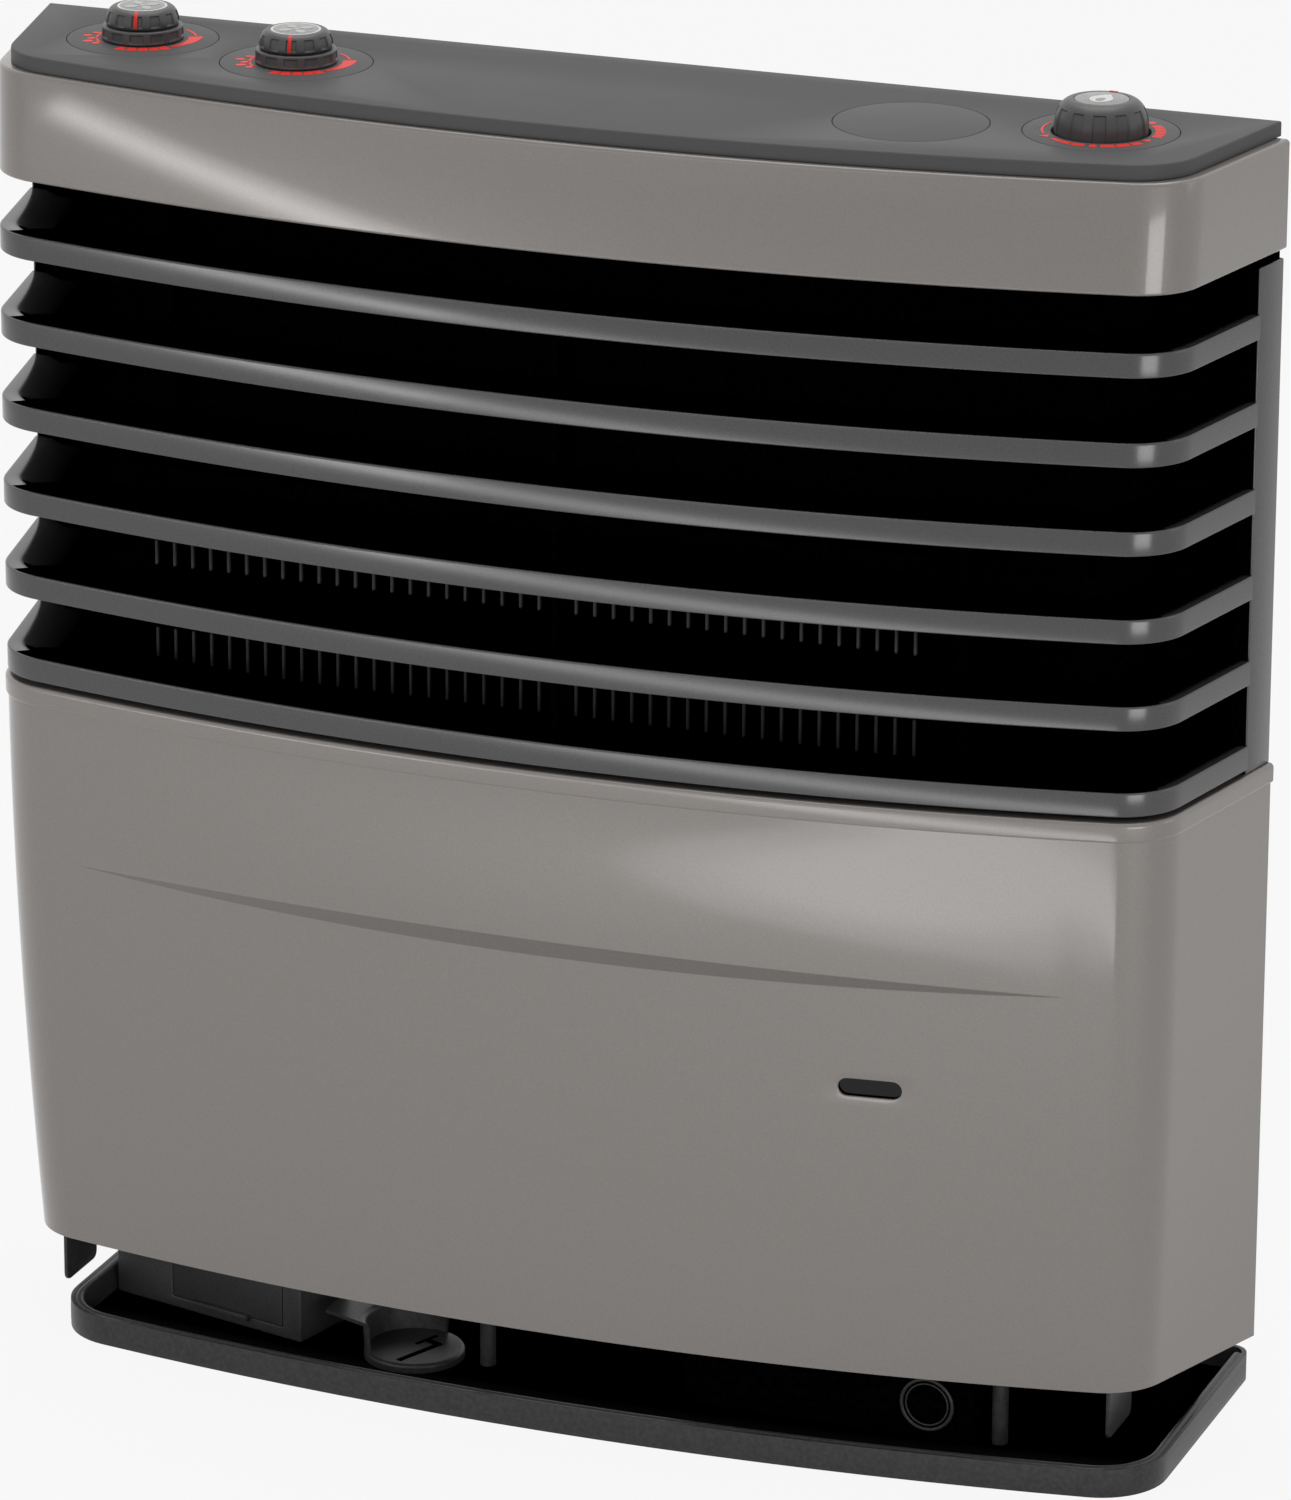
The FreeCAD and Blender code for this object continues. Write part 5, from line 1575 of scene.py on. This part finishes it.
# Studio
class HEATER_OT_stage(bpy.types.Operator):
    """Pale floor, soft lamps and the camera"""

    bl_idname = "heater.stage"
    bl_label = "Studio"

    # Camera fitted to the picture, whose long side the sensor spans
    PICTURE_LONG = 1500
    FOCAL_PIXELS = 8260.9
    YAW = math.radians(20.753)
    PITCH = math.radians(18.705)
    ROLL = math.radians(0.2528)
    TARGET = Vector((0.001, 0.0, 0.3097))
    DISTANCE = 4.0882
    # Ends of a straight lamp whose reflection runs down across the front, and the strips that
    # soften it, each a width and a share of the length, set apart so that all of them count
    FRONT_STRIP = ((-0.9, -0.7, 0.57), (0.45, -0.7, 0.01))
    STRIPS = ((0.05, 1.0), (0.11, 1.0), (0.03, 0.42), (0.08, 0.42))
    STRIP_GAP = 5 * MM
    STRIP_GLOW = 9.4
    # How white the floor is to the camera, whatever its shadows
    FLOOR_GLOW = 0.9
    FLOOR_HALF = 14
    # Light from all round that falls on the heater, and what the backdrop looks like
    AIR_LIGHT = 0.33
    AIR_WHITE = 1.0
    # Lamps, as (name, place, aim, size, power)
    LAMPS = (
        ("top", (-0.3, 0.9, 5.0), (-0.1, 0.5, 0), (4.0, 4.0), 130),
        ("front", (-0.9, -3.2, 1.25), (0, 0, 0.38), (2.0, 0.8), 6),
        ("side", (2.8, 0.5, 1.0), (0.2, 0, 0.35), (0.8, 1.4), 3.5),
        ("corner_glow", (1.25, -1.05, 0.2), (0.3, -0.1, 0.35), (0.62, 0.6), 5.5),
    )

    def execute(self, context):
        self.make_floor()
        self.make_lamps()
        self.make_world(context.scene)
        self.make_camera(context.scene)
        context.scene.view_settings.view_transform = "Standard"
        return {"FINISHED"}

    def make_floor(self):
        mesh = bpy.data.meshes.new("floor")
        bm = bmesh.new()
        bmesh.ops.create_grid(bm, x_segments=1, y_segments=1, size=self.FLOOR_HALF)
        bm.to_mesh(mesh)
        bm.free()
        floor = bpy.data.objects.new("floor", mesh)
        bpy.context.scene.collection.objects.link(floor)
        mesh.materials.append(self.studio_paper())

    def studio_paper(self):
        """Matt studio paper, lit from below to near white, which keeps its shadows pale."""
        material = bpy.data.materials.new("studio_paper")
        material.use_nodes = True
        tree = material.node_tree
        tree.nodes.clear()
        paper = add(tree, "ShaderNodeBsdfDiffuse", {"Color": (*palette().floor, 1)})
        glow = add(tree, "ShaderNodeEmission", {"Color": (1, 1, 1, 1), "Strength": 1.0})
        share = add(tree, "ShaderNodeMath", {0: self.backdrop_rays(tree), 1: self.FLOOR_GLOW},
                    operation="MULTIPLY")
        seen = add(tree, "ShaderNodeMixShader", {
            0: share.outputs["Value"], 1: paper.outputs["BSDF"], 2: glow.outputs["Emission"],
        })
        add(tree, "ShaderNodeOutputMaterial", {"Surface": seen.outputs["Shader"]})
        return material

    def make_lamps(self):
        for name, place, aim, size, power in self.LAMPS:
            turn = (Vector(aim) - Vector(place)).to_track_quat("-Z", "Y").to_matrix()
            self.make_lamp(name, Vector(place), turn, size, power)
        first, last = (Vector(end) for end in self.FRONT_STRIP)
        along = (last - first).normalized()
        away = Vector((0, -1, 0))
        turn = Matrix((along, away.cross(along), away)).transposed()
        for number, (width, share) in enumerate(self.STRIPS):
            end = first + (last - first) * share
            size = ((end - first).length, width)
            place = (first + end) / 2 + away * self.STRIP_GAP * number
            power = self.STRIP_GLOW * width * share
            self.make_lamp(f"front_strip_{number}", place, turn, size, power)

    def make_lamp(self, name, place, turn, size, power):
        data = bpy.data.lights.new(name, "AREA")
        data.shape = "RECTANGLE"
        data.size, data.size_y = size
        data.energy = power
        lamp = bpy.data.objects.new(name, data)
        lamp.matrix_world = Matrix.Translation(place) @ turn.to_4x4()
        lamp.visible_camera = False
        bpy.context.scene.collection.objects.link(lamp)

    def backdrop_rays(self, tree):
        """1 for rays that should see the white backdrop, 0 for light that falls on the heater."""
        path = add(tree, "ShaderNodeLightPath").outputs
        seen = add(tree, "ShaderNodeMath", {0: path["Is Camera Ray"], 1: path["Is Glossy Ray"]},
                   operation="MAXIMUM")
        seen = add(tree, "ShaderNodeMath", {
            0: seen.outputs["Value"], 1: path["Is Transmission Ray"],
        }, operation="MAXIMUM")
        return seen.outputs["Value"]

    def make_world(self, scene):
        world = bpy.data.worlds.new("studio")
        scene.world = world
        world.use_nodes = True
        tree = world.node_tree
        tree.nodes.clear()
        level = add(tree, "ShaderNodeMapRange", {
            "Value": self.backdrop_rays(tree), "To Min": self.AIR_LIGHT, "To Max": self.AIR_WHITE,
        })
        air = add(tree, "ShaderNodeBackground", {
            "Color": (1, 1, 1, 1), "Strength": level.outputs["Result"],
        })
        add(tree, "ShaderNodeOutputWorld", {"Surface": air.outputs["Background"]})

    def make_camera(self, scene):
        back = Vector((
            math.sin(self.YAW) * math.cos(self.PITCH),
            -math.cos(self.YAW) * math.cos(self.PITCH),
            math.sin(self.PITCH),
        ))
        right = Vector((math.cos(self.YAW), math.sin(self.YAW), 0))
        up = back.cross(right)
        tilted_right = right * math.cos(self.ROLL) + up * math.sin(self.ROLL)
        tilted_up = up * math.cos(self.ROLL) - right * math.sin(self.ROLL)
        data = bpy.data.cameras.new("photo_view")
        data.lens = self.FOCAL_PIXELS / self.PICTURE_LONG * data.sensor_width
        camera = bpy.data.objects.new("photo_view", data)
        axes = Matrix((tilted_right, tilted_up, back)).transposed()
        camera.matrix_world = Matrix.Translation(self.TARGET + back * self.DISTANCE) @ axes.to_4x4()
        scene.collection.objects.link(camera)
        scene.camera = camera


class HEATER_PT_panel(bpy.types.Panel):
    """Lists the steps that build the heater"""

    bl_idname = "HEATER_PT_panel"
    bl_label = "Caravan heater"
    bl_space_type = "VIEW_3D"
    bl_region_type = "UI"
    bl_category = "Heater"

    def draw(self, context):
        for step in STEPS:
            self.layout.operator(step.bl_idname)


STEPS = (
    HEATER_OT_band,
    HEATER_OT_grille,
    HEATER_OT_lower_panel,
    HEATER_OT_cover,
    HEATER_OT_fan_controls,
    HEATER_OT_gas_control,
    HEATER_OT_base,
    HEATER_OT_works,
    HEATER_OT_stage,
)
GROUPS = {
    "heater_casing": HeaterCasing,
    "heater_controls": HeaterControls,
    "heater_colours": HeaterColours,
}


def register():
    for name, group in GROUPS.items():
        bpy.utils.register_class(group)
        setattr(bpy.types.Scene, name, bpy.props.PointerProperty(type=group))
    for cls in (*STEPS, HEATER_PT_panel):
        bpy.utils.register_class(cls)


def unregister():
    for cls in reversed((*STEPS, HEATER_PT_panel)):
        bpy.utils.unregister_class(cls)
    for name, group in GROUPS.items():
        delattr(bpy.types.Scene, name)
        bpy.utils.unregister_class(group)


def main():
    register()
    bpy.ops.heater.band()
    bpy.ops.heater.grille()
    bpy.ops.heater.lower_panel()
    bpy.ops.heater.cover()
    bpy.ops.heater.fan_controls()
    bpy.ops.heater.gas_control()
    bpy.ops.heater.base()
    bpy.ops.heater.works()
    bpy.ops.heater.stage()


if __name__ == "__main__":
    main()
